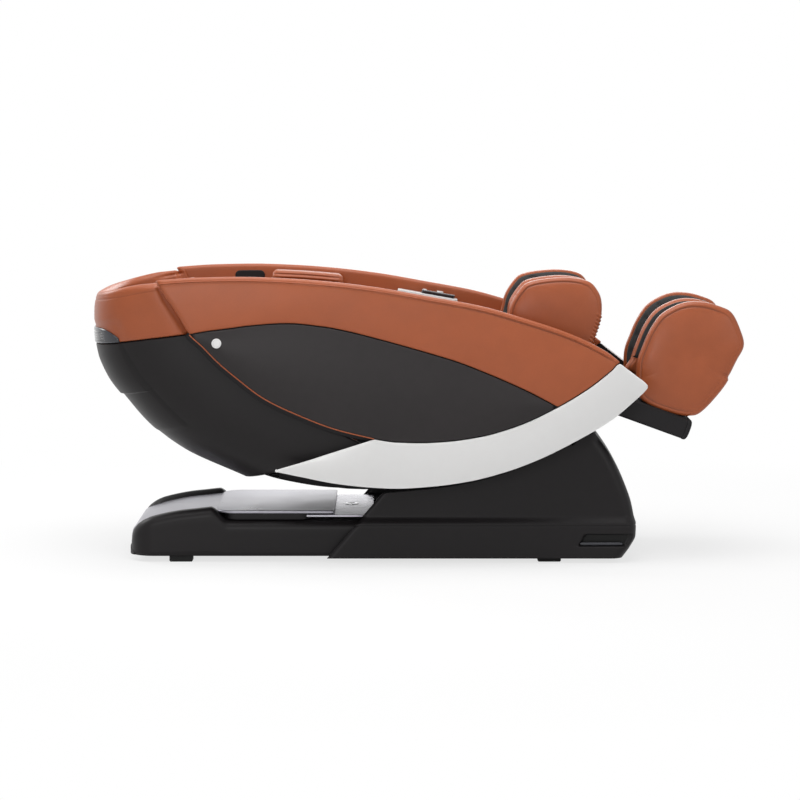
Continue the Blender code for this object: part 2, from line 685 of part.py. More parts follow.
def build_cushions():
    def seat_channel(a, b):
        return 0.007 * sum(math.exp(-((a - at) / 0.07) ** 2) for at in (-0.35, 0.30)) * (1 - b ** 6)

    half = (SEAT_LENGTH / 2, SEAT_HALF, SEAT_THICK / 2)
    form = pad(half, 0.030, 0.018, 0.012, seat_channel)

    def seat(a, b, c):
        p = form(a, b, c)
        return seat_place(p.x + SEAT_LENGTH / 2, p.y, p.z - SEAT_THICK / 2)
    part("seat_cushion", block((13, 9, 2), seat), POD, "leather")

    back_half = (BACK_LENGTH / 2, BACK_HALF_WIDTH, BACK_THICK / 2)

    def back_channel(a, b):
        lines = sum(math.exp(-((a - at) / 0.045) ** 2) for at in (-0.42, -0.10, 0.22, 0.54))
        return 0.008 * lines * (1 - b ** 6) - 0.020 * max(0.0, abs(b) - 0.55)
    back_form = pad(back_half, 0.030, 0.010, 0.012, back_channel)

    def back(a, b, c):
        p = back_form(a, b, c)
        along = p.x + BACK_LENGTH / 2
        wide = 1 - np.clip((along - SHOULDER_REACH[0]) / (SHOULDER_REACH[1] - SHOULDER_REACH[0]), 0, 1)
        y = p.y * (1 + SHOULDER_WIDEN / BACK_HALF_WIDTH * wide * wide * (3 - 2 * wide))
        return back_place(along, y, p.z - BACK_THICK / 2)
    part("back_cushion", block((19, 9, 2), back), BACK, "leather")

    first, last = PILLOW_SPAN
    length = last - first
    pillow_form = pad((length / 2, PILLOW_HALF, PILLOW_THICK / 2), 0.022, 0.014, 0.03)

    def pillow(a, b, c):
        p = pillow_form(a, b, c)
        lift = 0.0
        if c < 0:
            along = (first + p.x + length / 2) / (BACK_LENGTH / 2) - 1
            lift = pillow_rest(along, p.y / (BACK_HALF_WIDTH + SHOULDER_WIDEN))
        else:
            lift = pillow_rest(2 * first / BACK_LENGTH - 1 + length / BACK_LENGTH, 0.0)
        return back_place(p.x + first + length / 2, p.y, p.z + PILLOW_THICK / 2 + lift + 2 * FIT)

    def pillow_rest(along, b):
        return 0.010 * (1 - along ** 2) * (1 - b * b) + 0.020 * max(0.0, abs(b) - 0.55) + FIT
    part("head_pillow", block((9, 11, 2), pillow), BACK, "leather")


def build_arms():
    for side, sign in SIDES.items():
        first, last = ARM_SPAN

        def arm(a, b, c, sign=sign, first=first, last=last):
            p = round_box((1, 0.30, 0.42), 0.16, (a, b * 0.30, c * 0.42))
            x = (first + last) / 2 + p.x * (last - first) / 2
            top = rim(x) - ARM_DROP
            z = top - ARM_HEIGHT * (0.42 - p.z) / 0.84
            outer = carcass_inner(x) - FIT
            depth = (outer - ARM_INNER) * (0.30 - p.y) / 0.60
            bulge = 0.010 * (1 - a * a) * (1 - c * c) if b < 0 else 0.0
            return (x, sign * (outer - depth + bulge), z)
        part(f"arm_pad_{side}", block((13, 2, 6), arm), POD, "leather")
        first, last = SHOULDER_SPAN

        def shoulder(a, b, c, sign=sign, first=first, last=last):
            p = round_box((1, 0.40, 0.62), 0.18, (a, b * 0.40, c * 0.62))
            x = (first + last) / 2 + p.x * (last - first) / 2
            z = rim(x) - SHOULDER_DROP - SHOULDER_HEIGHT * (0.62 - p.z) / 1.24
            outer = carcass_inner(x) - FIT
            depth = (outer - ARM_INNER) * (0.40 - p.y) / 0.80
            rib = 0.5 + 0.5 * math.cos(math.pi * SHOULDER_RIBS * (c + 1))
            groove = 0.012 * rib * (1 - a ** 6) if b < 0 else 0.0
            return (x, sign * (outer - depth + groove), z)
        part(f"shoulder_pad_{side}", block((7, 2, 4 * SHOULDER_RIBS - 1), shoulder), POD, "leather")


def build_control():
    first, last = TRAY_SPAN
    run = last - first
    top = rim(first) - ARM_DROP
    fall = math.atan2(rim(first) - rim(last), run)
    length = run / math.cos(fall)
    place = tilted((first, top + FIT), -fall)
    inner, outer = TRAY_INNER, TRAY_INNER + TRAY_WIDTH
    deck = TRAY_THICK

    def slab(a0, a1, y0, y1, n0, n1):
        return block((0, 0, 0), lambda a, b, c: place(a0 + (a1 - a0) * (a + 1) / 2,
                                                      y0 + (y1 - y0) * (b + 1) / 2,
                                                      n0 + (n1 - n0) * (c + 1) / 2))
    tray = part("control_tray", slab(0, length, inner, outer, 0, deck), POD, "silver")
    bevel(tray, 0.003)
    start = length - REMOTE_LENGTH - 0.010
    middle = (inner + outer) / 2
    low, high = middle - REMOTE_WIDTH / 2, middle + REMOTE_WIDTH / 2
    hinge = place(start, middle, deck + FIT + REMOTE_THICK / 2)
    remote_group = Group("remote_tilt", hinge, POD)
    foot, roof = deck + FIT, deck + FIT + REMOTE_THICK
    remote = part("remote", slab(start, start + REMOTE_LENGTH, low, high, foot, roof), remote_group,
                  "gloss black")
    bevel(remote, 0.002)
    key_at = start + REMOTE_LENGTH * 0.55
    half_l, half_w = KEY_SIZE[0] / 2, KEY_SIZE[1] / 2
    play = FIT * 1.5
    pocket = slab(key_at - half_l - play, key_at + half_l + play, middle - half_w - play,
                  middle + half_w + play, roof - KEY_DEPTH, roof + 0.01)
    boolean(remote, helper(pocket, remote_group), "DIFFERENCE")
    press = Group("key_press", place(key_at, middle, roof), remote_group)
    part("remote_key", slab(key_at - half_l, key_at + half_l, middle - half_w, middle + half_w,
                            roof - KEY_DEPTH + KEY_PROUD, roof + KEY_PROUD), press, "silver")


def build_belly():
    def place(u, v):
        x = BELLY[0][0] + (BELLY[-1][0] - BELLY[0][0]) * u
        y = 2 * v - 1
        edge = BELLY_HALF + BELLY_LIP
        lip = max(0.0, abs(y) * edge - BELLY_HALF) / BELLY_LIP
        return (x, y * edge, belly_line(x) + 0.75 * BELLY_LIP * lip ** 2)
    belly = part("pod_belly", sheet(8, 14, place), POD, "dark plastic")
    solidify(belly, BELLY_WALL, 1)
    heel = seat_place(PAN_SPAN[0], 0, -SEAT_THICK - FIT - SEAT_PAN)
    for sign in SIDES.values():
        middle = sign * BELLY_POST_AT
        post = box((heel.x - 0.006, middle - BELLY_POST_HALF, belly_line(heel.x) + BELLY_WALL / 2),
                   (heel.x + 0.006, middle + BELLY_POST_HALF, heel.z - FIT))
        boolean(belly, helper(post, POD), "UNION")


def build_back_frame():
    depth = -TRACK_DEPTH
    first, last = TRACK_SPAN
    half = BEAM_SIZE / 2

    def beam(at, reach):
        return block((0, 0, 0), lambda a, b, c: back_place(at + a * half, b * reach, depth + c * half))
    reach = HIP_PLATE_INNER + LUG_WALL / 2
    frame = part("back_frame", beam(first, reach), BACK, "steel")
    boolean(frame, helper(beam(last, reach), BACK), "UNION")
    for sign in SIDES.values():
        bar = rod(SIDE_BAR_RADIUS, back_place(first - half / 2, sign * SIDE_BAR_AT, depth),
                  back_place(last + half / 2, sign * SIDE_BAR_AT, depth))
        boolean(frame, helper(bar, BACK), "UNION")
        for at in HULL_BEAMS:
            spot = back_place(at, 0, depth)
            radius = TUBE_RADIUS * 0.8
            narrow = min(hull_half_at(spot.x - radius, spot.z + up) for up in (-radius, 0, radius))
            reach = narrow - SHELL_WALL - HULL_SEAT
            arm = cross_rod(radius, spot.x, spot.z, *sorted((sign * SIDE_BAR_AT, sign * reach)))
            boolean(frame, helper(arm, BACK), "UNION")
        rail = rod(TRACK_RADIUS, back_place(first - half / 2, sign * TRACK_HALF, depth),
                   back_place(last + half / 2, sign * TRACK_HALF, depth))
        boolean(frame, helper(rail, BACK), "UNION")
        foot = back_place(last, 0, depth)
        angle = math.degrees(math.atan2(HIP_AXIS[1] - foot.z, HIP_AXIS[0] - foot.x))
        ear = plate([arc(HIP_AXIS, LUG_RADIUS, angle - 90, angle + 90, 12)
                     + arc((foot.x, foot.z), half * 1.1, angle + 90, angle + 270, 8)],
                    *sorted((sign * HIP_PLATE_INNER, sign * (HIP_PLATE_INNER + LUG_WALL))))
        boolean(frame, helper(ear, BACK), "UNION")
        for at in (first, last):
            rest = block((0, 0, 0), lambda a, b, c, at=at, sign=sign: back_place(
                at + a * REST_HALF, sign * REST_AT + b * REST_HALF,
                depth + (TRACK_DEPTH - BACK_THICK - FIT) * (c + 1) / 2))
            boolean(frame, helper(rest, BACK), "UNION")
    bore = PIN_RADIUS + BORE_PLAY
    boolean(frame, helper(cross_rod(bore, *HIP_AXIS, -POD_HALF, POD_HALF), BACK), "DIFFERENCE")


def build_massage():
    depth = -TRACK_DEPTH
    rest = back_place(MASSAGE_REST, 0, depth)
    group = Group("massage_travel", rest, BACK)
    half = (MASSAGE_LENGTH / 2, TRACK_HALF + TRACK_RADIUS + 0.010, MASSAGE_THICK / 2)
    body = part("massage_carriage", block((0, 0, 0), lambda a, b, c: back_place(
        MASSAGE_REST + a * half[0], b * half[1], depth + c * half[2])), group, "dark plastic")
    for sign in SIDES.values():
        bore = rod(TRACK_RADIUS + BORE_PLAY, back_place(MASSAGE_REST - 0.1, sign * TRACK_HALF, depth),
                   back_place(MASSAGE_REST + 0.1, sign * TRACK_HALF, depth))
        boolean(body, helper(bore, group), "DIFFERENCE")
    axle_depth = -BACK_THICK - MASSAGE_CLEAR - MASSAGE_ROLLER
    neck = MASSAGE_SPREAD - 2 * FIT
    lug = block((0, 0, 0), lambda a, b, c: back_place(
        MASSAGE_REST + a * 0.012, b * neck,
        depth + (axle_depth + 0.012 - depth) * (c + 1) / 2))
    boolean(body, helper(lug, group), "UNION")
    for sign in SIDES.values():
        pocket = block((0, 0, 0), lambda a, b, c, sign=sign: back_place(
            MASSAGE_REST + a * (MASSAGE_ROLLER + 0.004),
            sign * (MASSAGE_SPREAD - FIT + (MASSAGE_ROLLER_WIDTH + 4 * FIT) * (b + 1) / 2),
            axle_depth + c * (MASSAGE_ROLLER + 0.004)))
        boolean(body, helper(pocket, group), "DIFFERENCE")
    axle = back_place(MASSAGE_REST, 0, axle_depth)
    boolean(body, helper(cross_rod(AXLE_RADIUS + BORE_PLAY, axle.x, axle.z, -0.1, 0.1), group), "DIFFERENCE")
    for side, sign in SIDES.items():
        spin = Group(f"massage_roller_{side}_spin", axle, group)
        inner, outer = MASSAGE_SPREAD, MASSAGE_SPREAD + MASSAGE_ROLLER_WIDTH
        profile = [(0, 0.004), (AXLE_RADIUS, 0.004), (AXLE_RADIUS, inner), (MASSAGE_ROLLER - 0.006, inner),
                   (MASSAGE_ROLLER, inner + 0.006), (MASSAGE_ROLLER, outer - 0.006),
                   (MASSAGE_ROLLER - 0.006, outer), (0, outer)]
        part(f"massage_roller_{side}", turned([(r, sign * y) for r, y in profile], axle, 20), spin, "rubber")


def leg_pad(a0, a1, half, low, high, crown):
    form = pad(((a1 - a0) / 2, half, (high - low) / 2), min(0.018, (high - low) / 2.2), crown, 0.004)

    def place(a, b, c):
        p = form(a, b, c)
        return (p.x + (a0 + a1) / 2, p.y, p.z + (low + high) / 2)
    return place


def wing_rings():
    return [(0.30, 1.0), (0.62, 0.95), (0.84, 0.72), (0.94, 0.40), (1.0, -0.35)]


def divider_pad(outline, floor):
    """A flat-sided pad on edge, with rolled edges, that stands on a level floor."""
    points = np.array(closed_curve(outline, 2))
    middle = points.mean(axis=0)
    form = bmesh.new()
    rings = []
    for share, side in DIVIDER_RINGS:
        ring = middle + (points - middle) * share
        rings.append([form.verts.new((x, side * DIVIDER_HALF, max(z, floor))) for x, z in ring])
    for first, second in zip(rings, rings[1:]):
        for i in range(len(points)):
            j = (i + 1) % len(points)
            form.faces.new((first[i], first[j], second[j], second[i]))
    form.faces.new(rings[0])
    form.faces.new(rings[-1])
    return outwards(form)


def build_legrest():
    first, last = BAR_SPAN
    bar = part("legrest_frame", box((first, -BAR_HALF, -BAR_HALF_HEIGHT), (last, BAR_HALF, BAR_HALF_HEIGHT)),
               LEG, "dark plastic", own_frame=True)
    bevel(bar, 0.006)
    for sign in SIDES.values():
        slot = box((GUIDE_SLOT[0], sign * GUIDE_HALF - GUIDE_SLOT_HALF, -BAR_HALF_HEIGHT + 0.006),
                   (GUIDE_SLOT[1], sign * GUIDE_HALF + GUIDE_SLOT_HALF, 0.1))
        boolean(bar, helper(slot, LEG, True), "DIFFERENCE")
        seat = rod(GUIDE_RADIUS + BORE_PLAY, (GUIDE_SLOT[0] - GUIDE_SEAT - FIT, sign * GUIDE_HALF, 0),
                   (GUIDE_SLOT[1] + GUIDE_SEAT + FIT, sign * GUIDE_HALF, 0))
        boolean(bar, helper(seat, LEG, True), "DIFFERENCE")
        hole = cross_rod(PIN_RADIUS + BORE_PLAY, 0, 0, *sorted((sign * (BAR_HALF - 0.026), sign * POD_HALF)))
        boolean(bar, helper(hole, LEG, True), "DIFFERENCE")
    hollow = box((PIN_RADIUS + 0.012, -BAR_HALF + 0.012, -0.1),
                 (GUIDE_SLOT[0] - GUIDE_SEAT - 0.012, BAR_HALF - 0.012, BAR_HALF_HEIGHT - 0.012))
    boolean(bar, helper(hollow, LEG, True), "DIFFERENCE")
    bed_low = BAR_HALF_HEIGHT + FIT
    bed_high = bed_low + BED_THICK
    inner = LEG_HALF - WING_WIDTH
    part("calf_bed", block((7, 7, 1), leg_pad(*CALF_BED, inner - FIT, bed_low, bed_high, 0.004)),
         LEG, "lining", own_frame=True)
    part("calf_divider", divider_pad(CALF_DIVIDER, bed_high + 0.0045 + FIT), LEG, "leather", own_frame=True)
    for side, sign in SIDES.items():
        wing = outline_pad(closed_curve(CALF_WING, 2), sign * inner, sign * LEG_HALF, 0.012, wing_rings())
        part(f"calf_wing_{side}", wing, LEG, "leather", own_frame=True)
        guide = rod(GUIDE_RADIUS, (GUIDE_SLOT[0] - GUIDE_SEAT, sign * GUIDE_HALF, 0),
                    (GUIDE_SLOT[1] + GUIDE_SEAT, sign * GUIDE_HALF, 0))
        part(f"guide_rod_{side}", guide, LEG, "steel", own_frame=True)


def build_foot_unit():
    inner = LEG_HALF - WING_WIDTH
    bed = part("foot_bed", plate([FOOT_BED], -inner + FIT, inner - FIT), FOOT, "lining", own_frame=True)
    floor = FOOT_BED[0][1]
    deck = FOOT_BED[-1][1]
    axle = (FOOT_ROLLER_AT, deck + FOOT_ROLLER + 0.006)
    for sign in SIDES.values():
        keel = box((KEEL_SPAN[0], sign * GUIDE_HALF - KEEL_HALF, -BAR_HALF_HEIGHT + 0.006 + 0.003),
                   (KEEL_SPAN[1], sign * GUIDE_HALF + KEEL_HALF, floor + 0.01))
        boolean(bed, helper(keel, FOOT, True), "UNION")
        bore = rod(GUIDE_RADIUS + BORE_PLAY, (KEEL_SPAN[0] - 0.01, sign * GUIDE_HALF, 0),
                   (KEEL_SPAN[1] + 0.01, sign * GUIDE_HALF, 0))
        boolean(bed, helper(bore, FOOT, True), "DIFFERENCE")
        for at in (FOOT_LUG_INNER, FOOT_LUG_OUTER):
            lug = box((axle[0] - 0.014, sign * at - FOOT_LUG_WALL / 2, deck - 0.01),
                      (axle[0] + 0.014, sign * at + FOOT_LUG_WALL / 2, axle[1] + 0.012))
            boolean(bed, helper(lug, FOOT, True), "UNION")
    boolean(bed, helper(cross_rod(AXLE_RADIUS + BORE_PLAY, *axle, -0.25, 0.25), FOOT, True), "DIFFERENCE")
    first, last = FOOT_LUG_INNER + FOOT_LUG_WALL / 2 + 2 * FIT, FOOT_LUG_OUTER - FOOT_LUG_WALL / 2 - 2 * FIT
    for side, sign in SIDES.items():
        spin = Group(f"foot_roller_{side}_spin", FOOT.world @ Vector((axle[0], 0, axle[1])), FOOT)
        mid = (first + last) / 2
        profile = [(0, first - FOOT_LUG_WALL), (AXLE_RADIUS, first - FOOT_LUG_WALL), (AXLE_RADIUS, first),
                   (FOOT_ROLLER - 0.005, first), (FOOT_ROLLER, mid - 0.03), (FOOT_ROLLER - 0.004, mid),
                   (FOOT_ROLLER, mid + 0.03), (FOOT_ROLLER - 0.005, last), (AXLE_RADIUS, last),
                   (AXLE_RADIUS, last + FOOT_LUG_WALL), (0, last + FOOT_LUG_WALL)]
        at = FOOT.world @ Vector((axle[0], 0, axle[1]))
        part(f"foot_roller_{side}", turned([(r, sign * y) for r, y in profile], at, 16), spin, "rubber")
        wing = outline_pad(closed_curve(FOOT_WING, 2), sign * inner, sign * LEG_HALF, 0.012, wing_rings())
        part(f"foot_wing_{side}", wing, FOOT, "leather", own_frame=True)
    part("foot_divider", divider_pad(FOOT_DIVIDER, deck + FIT), FOOT, "leather", own_frame=True)


def build_base():
    upper = [(FRAME_SPAN[0], EAR[0]), (WHEEL_AT[0] - 0.018, EAR[0]), (WHEEL_AT[0] - 0.018, EAR[1]),
             (REAR_FEET_AT - 0.045, EAR[1]), (REAR_FEET_AT - 0.045, OUTRIGGER),
             (REAR_FEET_AT + 0.045, OUTRIGGER), (REAR_FEET_AT + 0.045, RAIL_OUTER),
             (FRONT_FEET_AT - 0.045, RAIL_OUTER), (FRONT_FEET_AT - 0.045, OUTRIGGER),
             (FRAME_SPAN[1], OUTRIGGER)]
    frame = part("base_frame", plate([mirrored(upper)], FLOOR_FOOT, FRAME_TOP, "z"), BASE, "steel")
    for a, b in FRAME_HOLES:
        hole = box((a, -RAIL_INNER, FLOOR_FOOT - 0.01), (b, RAIL_INNER, FRAME_TOP + 0.01))
        boolean(frame, helper(hole, BASE), "DIFFERENCE")
    bore = cross_rod(AXLE_RADIUS + BORE_PLAY, *WHEEL_AT, -POD_HALF, POD_HALF)
    boolean(frame, helper(bore, BASE), "DIFFERENCE")
    for side, sign in SIDES.items():
        for end, x in (("rear", REAR_FEET_AT), ("front", FRONT_FEET_AT)):
            y = sign * (OUTRIGGER - FOOT_WIDTH / 2)
            foot = part(f"{end}_foot_{side}", box((x - FOOT_LENGTH / 2, y - FOOT_WIDTH / 2, 0),
                                                  (x + FOOT_LENGTH / 2, y + FOOT_WIDTH / 2, FLOOR_FOOT - FIT)),
                        BASE, "rubber")
            bevel(foot, 0.003)
        near, far = EAR[1] + 2 * FIT, EAR[1] + 2 * FIT + WHEEL_WIDTH
        profile = [(0, EAR[0]), (AXLE_RADIUS, EAR[0]), (AXLE_RADIUS, near), (WHEEL_RADIUS - 0.003, near),
                   (WHEEL_RADIUS, near + 0.003), (WHEEL_RADIUS, far - 0.003), (WHEEL_RADIUS - 0.003, far),
                   (0, far)]
        at = Vector((WHEEL_AT[0], 0, WHEEL_AT[1]))
        spin = Group(f"transport_wheel_{side}_spin", at, BASE)
        part(f"transport_wheel_{side}", turned([(r, sign * y) for r, y in profile], at), spin, "rubber")
    build_cover()
    step = COVER[-1][0]
    silver = part("base_top_plate", box((step + 2 * FIT, -PLATE_HALF, PLATE_Z[0]),
                                        (PLATE_END, PLATE_HALF, PLATE_Z[1])), BASE, "silver plate")
    for sign in SIDES.values():
        lip = box((step + 2 * FIT, min(sign * PLATE_HALF, sign * (PLATE_HALF - PLATE_LIP)), COVER_LOW + FIT),
                  (COVER_SHEET_END, max(sign * PLATE_HALF, sign * (PLATE_HALF - PLATE_LIP)),
                   PLATE_Z[0] + 0.002))
        boolean(silver, helper(lip, BASE), "UNION")


def cover_profile(inset):
    """The cover's side outline, drawn in by a wall and left open at the floor when inset."""
    top = [(x + inset, z - (inset if i > 3 else 0)) for i, (x, z) in enumerate(COVER)]
    if inset:
        top[0] = (top[0][0], top[0][1] - CUT_PAST)
    floor = top[0][1]
    step = COVER[-1][0]
    return top[:-1] + [(step - inset, COVER[-1][1] - inset), (step - inset, COVER_LOW - inset),
                       (COVER_END + inset * 5, COVER_LOW - inset), (COVER_END + inset * 5, floor)]


def cover_plan(inset):
    half, corner = COVER_HALF - inset, COVER_CORNER - inset
    tail = min(x for x, _ in COVER) + inset
    bend = arc((tail + corner, half - corner), corner, 180, 90, 8)
    return mirrored(bend + [(COVER_END + CUT_PAST, half)])


def build_cover():
    cover = part("base_rear_cover", plate([cover_profile(0.0)], -COVER_HALF, COVER_HALF), BASE,
                 "satin black")
    boolean(cover, helper(plate([cover_plan(0.0)], 0.0, COVER[-1][1] + CUT_PAST, "z"), BASE), "INTERSECT")
    wall = COVER_WALL
    hollow = helper(plate([cover_profile(wall)], -COVER_HALF, COVER_HALF), BASE)
    boolean(hollow, helper(plate([cover_plan(wall)], -CUT_PAST, COVER[-1][1] + CUT_PAST, "z"), BASE), "INTERSECT")
    boolean(cover, hollow, "DIFFERENCE")
    gate = box((COVER_SHEET_END, -COVER_HALF + wall, -CUT_PAST),
               (COVER_END + CUT_PAST, COVER_HALF - wall, COVER[-1][1] + CUT_PAST))
    boolean(cover, helper(gate, BASE), "DIFFERENCE")
    x, z = INLET_AT
    wide, tall, deep = INLET_SIZE
    seat = COVER_HALF + FIT
    inlet = part("power_inlet", box((x - wide / 2, seat, z - tall / 2), (x + wide / 2, seat + deep, z + tall / 2)),
                 BASE, "dark plastic")
    socket = box((x - wide / 2 + 0.006, seat + 0.003, z - 0.013), (x - 0.008, seat + deep + 0.01, z + 0.013))
    boolean(inlet, helper(socket, BASE), "DIFFERENCE")
    rocker_x = x + wide / 4 + 0.003
    half_w, half_t = ROCKER_SIZE[0] / 2, ROCKER_SIZE[1] / 2
    play = 2 * FIT
    pocket = box((rocker_x - half_w - play, seat + 0.002, z - half_t - 0.0015),
                 (rocker_x + half_w + play, seat + deep + 0.01, z + half_t + 0.0015))
    boolean(inlet, helper(pocket, BASE), "DIFFERENCE")
    pivot = Vector((rocker_x, seat + 0.006, z))
    rock = Group("switch_rock", pivot, BASE)
    rocker = block((0, 1, 0), lambda a, b, c: Vector((
        rocker_x + a * half_w,
        pivot.y + (0.0060 - 0.0025 * abs(b) if c > 0 else -0.0035 + 0.0035 * abs(b)),
        z + b * half_t)))
    part("power_switch", rocker, rock, "gloss black")


def build_carriage():
    first, last = CARRIAGE_SPAN
    low = FRAME_TOP + FIT
    edge = SHROUD_INNER - FIT
    ledge = SHROUD_TAIL[1] + 0.16
    upper = [(first, RAIL_OUTER), (ledge, RAIL_OUTER), (ledge, edge), (ledge + 0.06, edge),
             (ledge + 0.06, RAIL_OUTER), (last - 0.06, RAIL_OUTER), (last - 0.06, edge), (last, edge)]
    frame = part("carriage_frame", plate([mirrored(upper)], low, CARRIAGE_TOP, "z"), CARRIAGE, "steel")
    for a, b in CARRIAGE_HOLES:
        hole = box((a, -RAIL_INNER, low - 0.01), (b, RAIL_INNER, CARRIAGE_TOP + 0.01))
        boolean(frame, helper(hole, CARRIAGE), "DIFFERENCE")
    lug_low = TILT_LUG_INNER + TILT_LUG_WALL + CARRIAGE_LUG_GAP
    x, z = TILT_AXIS
    spread = (CARRIAGE_HOLES[1][0] - 0.02, CARRIAGE_HOLES[1][1] + 0.02)
    for sign in SIDES.values():
        lug = plate([[(spread[0], low + 0.01)] + [(spread[1], low + 0.01)]
                     + arc(TILT_AXIS, LUG_RADIUS, 20, 160, 10)],
                    *sorted((sign * lug_low, sign * (lug_low + TILT_LUG_WALL))))
        boolean(frame, helper(lug, CARRIAGE), "UNION")
    post = box((SLIDE_POST[0], -0.15, CARRIAGE_TOP - 0.01), (SLIDE_POST[1], 0.15, SLIDE_Z[0] - FIT))
    boolean(frame, helper(post, CARRIAGE), "UNION")
    boolean(frame, helper(cross_rod(PIN_RADIUS + BORE_PLAY, x, z, -POD_HALF, POD_HALF), CARRIAGE), "DIFFERENCE")
    reach = lug_low + TILT_LUG_WALL
    part("tilt_pin", cross_rod(PIN_RADIUS, x, z, -reach, reach), CARRIAGE, "steel")
    cover = part("slide_plate", box((SLIDE_SPAN[0], -SLIDE_HALF, SLIDE_Z[0]), (SLIDE_SPAN[1], SLIDE_HALF,
                                                                             SLIDE_Z[1])), CARRIAGE,
                 "silver plate")
    bevel(cover, 0.001)
    motor = part("tilt_motor", box((MOTOR_SPAN[0], -MOTOR_HALF, CARRIAGE_TOP + FIT),
                                   (MOTOR_SPAN[1], MOTOR_HALF, MOTOR_TOP)), CARRIAGE, "dark plastic")
    bevel(motor, 0.012, 2)
    build_shroud()


def shroud_tail(z):
    """Where the shroud's slanted rear edge is at a height."""
    low, high = SHROUD_TAIL
    return low + (high - low) * (z - SHROUD_FOOT) / (SHROUD_TOP[0][1] - SHROUD_FOOT)


def build_shroud():
    inner = SHROUD_INNER
    start = SHROUD_FOOT + SKIRT_LAP
    cheeks = [(shroud_tail(start), start), *SHROUD_TOP, *SHROUD_FRONT[:-1],
              (SHROUD_FRONT[-1][0] - SKIRT_LAP, SHROUD_FRONT[-1][1]), (SHROUD_TOE, start)]
    shroud = part("front_shroud", plate([cheeks], -CHEEK_OUTER, CHEEK_OUTER), CARRIAGE, "satin black")
    skirt = [(shroud_tail(SHROUD_FOOT) - SKIRT_LAP, SHROUD_FOOT),
             (shroud_tail(SKIRT_TOP) - SKIRT_LAP, SKIRT_TOP),
             *[(x + SKIRT_LAP, z) for x, z in SHROUD_FRONT if z < SKIRT_TOP + 0.002],
             (SHROUD_TOE + SKIRT_LAP, SHROUD_FOOT)]
    skirt = helper(plate([skirt], -SKIRT_OUTER, SKIRT_OUTER), CARRIAGE)
    x0, x1, z0, z1 = RECESS
    for sign in SIDES.values():
        slot = plate([[(x0, z0), (x1, z0), (x1, z1), (x0 + 0.022, z1)]],
                     *sorted((sign * (SKIRT_OUTER - RECESS_DEPTH), sign * POD_HALF)))
        boolean(skirt, helper(slot, CARRIAGE), "DIFFERENCE")
    boolean(shroud, skirt, "UNION")
    sunk, peak = SKIRT_TOP - SKIRT_LAP, SKIRT_TOP + LEDGE_RISE
    nose = SHROUD_FRONT[3][0] - SKIRT_LAP

    def ledge(a, b, c):
        z = sunk if c < 0 else peak
        half = SKIRT_OUTER - 0.0005 if c < 0 else CHEEK_OUTER - 0.001
        return (shroud_tail(z) + SKIRT_LAP if a < 0 else nose - (peak - sunk) * 0.1 * (c > 0), b * half, z)
    boolean(shroud, helper(block((0, 0, 0), ledge), CARRIAGE), "UNION")
    room = [(SHROUD_TAIL[0] - 0.1, -0.05), (SHROUD_TAIL[0] - 0.1, 0.6), (SHROUD_TOP[-1][0] - 0.012, 0.6),
            (SHROUD_TOP[-1][0] - 0.012, SHROUD_TOP[-1][1] - 0.004),
            *[(x - SHROUD_WALL, z) for x, z in SHROUD_FRONT], (SHROUD_TOE - SHROUD_WALL, -0.05)]
    boolean(shroud, helper(plate([room], -inner, inner), CARRIAGE), "DIFFERENCE")


LOOKS = {
    "leather": ((0.352, 0.102, 0.042), 0.42, 0.0),
    "lining": ((0.020, 0.019, 0.019), 0.60, 0.0),
    "gloss black": ((0.024, 0.023, 0.024), 0.22, 0.0),
    "satin black": ((0.022, 0.020, 0.020), 0.38, 0.0),
    "gloss grey": ((0.070, 0.070, 0.074), 0.20, 0.0),
    "dark plastic": ((0.018, 0.017, 0.017), 0.50, 0.0),
    "silver": ((0.640, 0.640, 0.650), 0.32, 0.0),
    "silver plate": ((0.430, 0.415, 0.470), 0.35, 0.0),
    "steel": ((0.120, 0.120, 0.125), 0.45, 0.8),
    "rubber": ((0.015, 0.015, 0.015), 0.75, 0.0),
    "white": ((0.860, 0.860, 0.860), 0.35, 0.0),
}

for old in list(bpy.data.objects):
    bpy.data.objects.remove(old, do_unlink=True)
PARTS = bpy.data.collections.new("massage_chair")
HELPERS = bpy.data.collections.new("cutters")
HELPERS.hide_render = True
for made_collection in (PARTS, HELPERS):
    bpy.context.scene.collection.children.link(made_collection)

BASE = Group("base", (0, 0, 0))
CARRIAGE = Group("carriage_glide", (0, 0, 0), BASE)
POD = Group("seat_tilt", (TILT_AXIS[0], 0, TILT_AXIS[1]), CARRIAGE)
BACK = Group("back_recline", (HIP_AXIS[0], 0, HIP_AXIS[1]), POD)
LEG = Group("legrest_swing", (KNEE_AXIS[0], 0, KNEE_AXIS[1]), POD, LEG_SLOPE)
FOOT = Group("foot_slide", (KNEE_AXIS[0], 0, KNEE_AXIS[1]), LEG, LEG_SLOPE)

build_base()
build_carriage()
build_seat_frame()
build_sides()
build_belly()
build_cushions()
build_arms()
build_control()
build_hull()
build_back_frame()
build_massage()
build_legrest()
build_foot_unit()
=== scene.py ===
"""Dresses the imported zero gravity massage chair: padded leather, moulded shells, silver blades and a studio."""

import logging
import math
from dataclasses import dataclass
from enum import Enum
from typing import Callable, Sequence

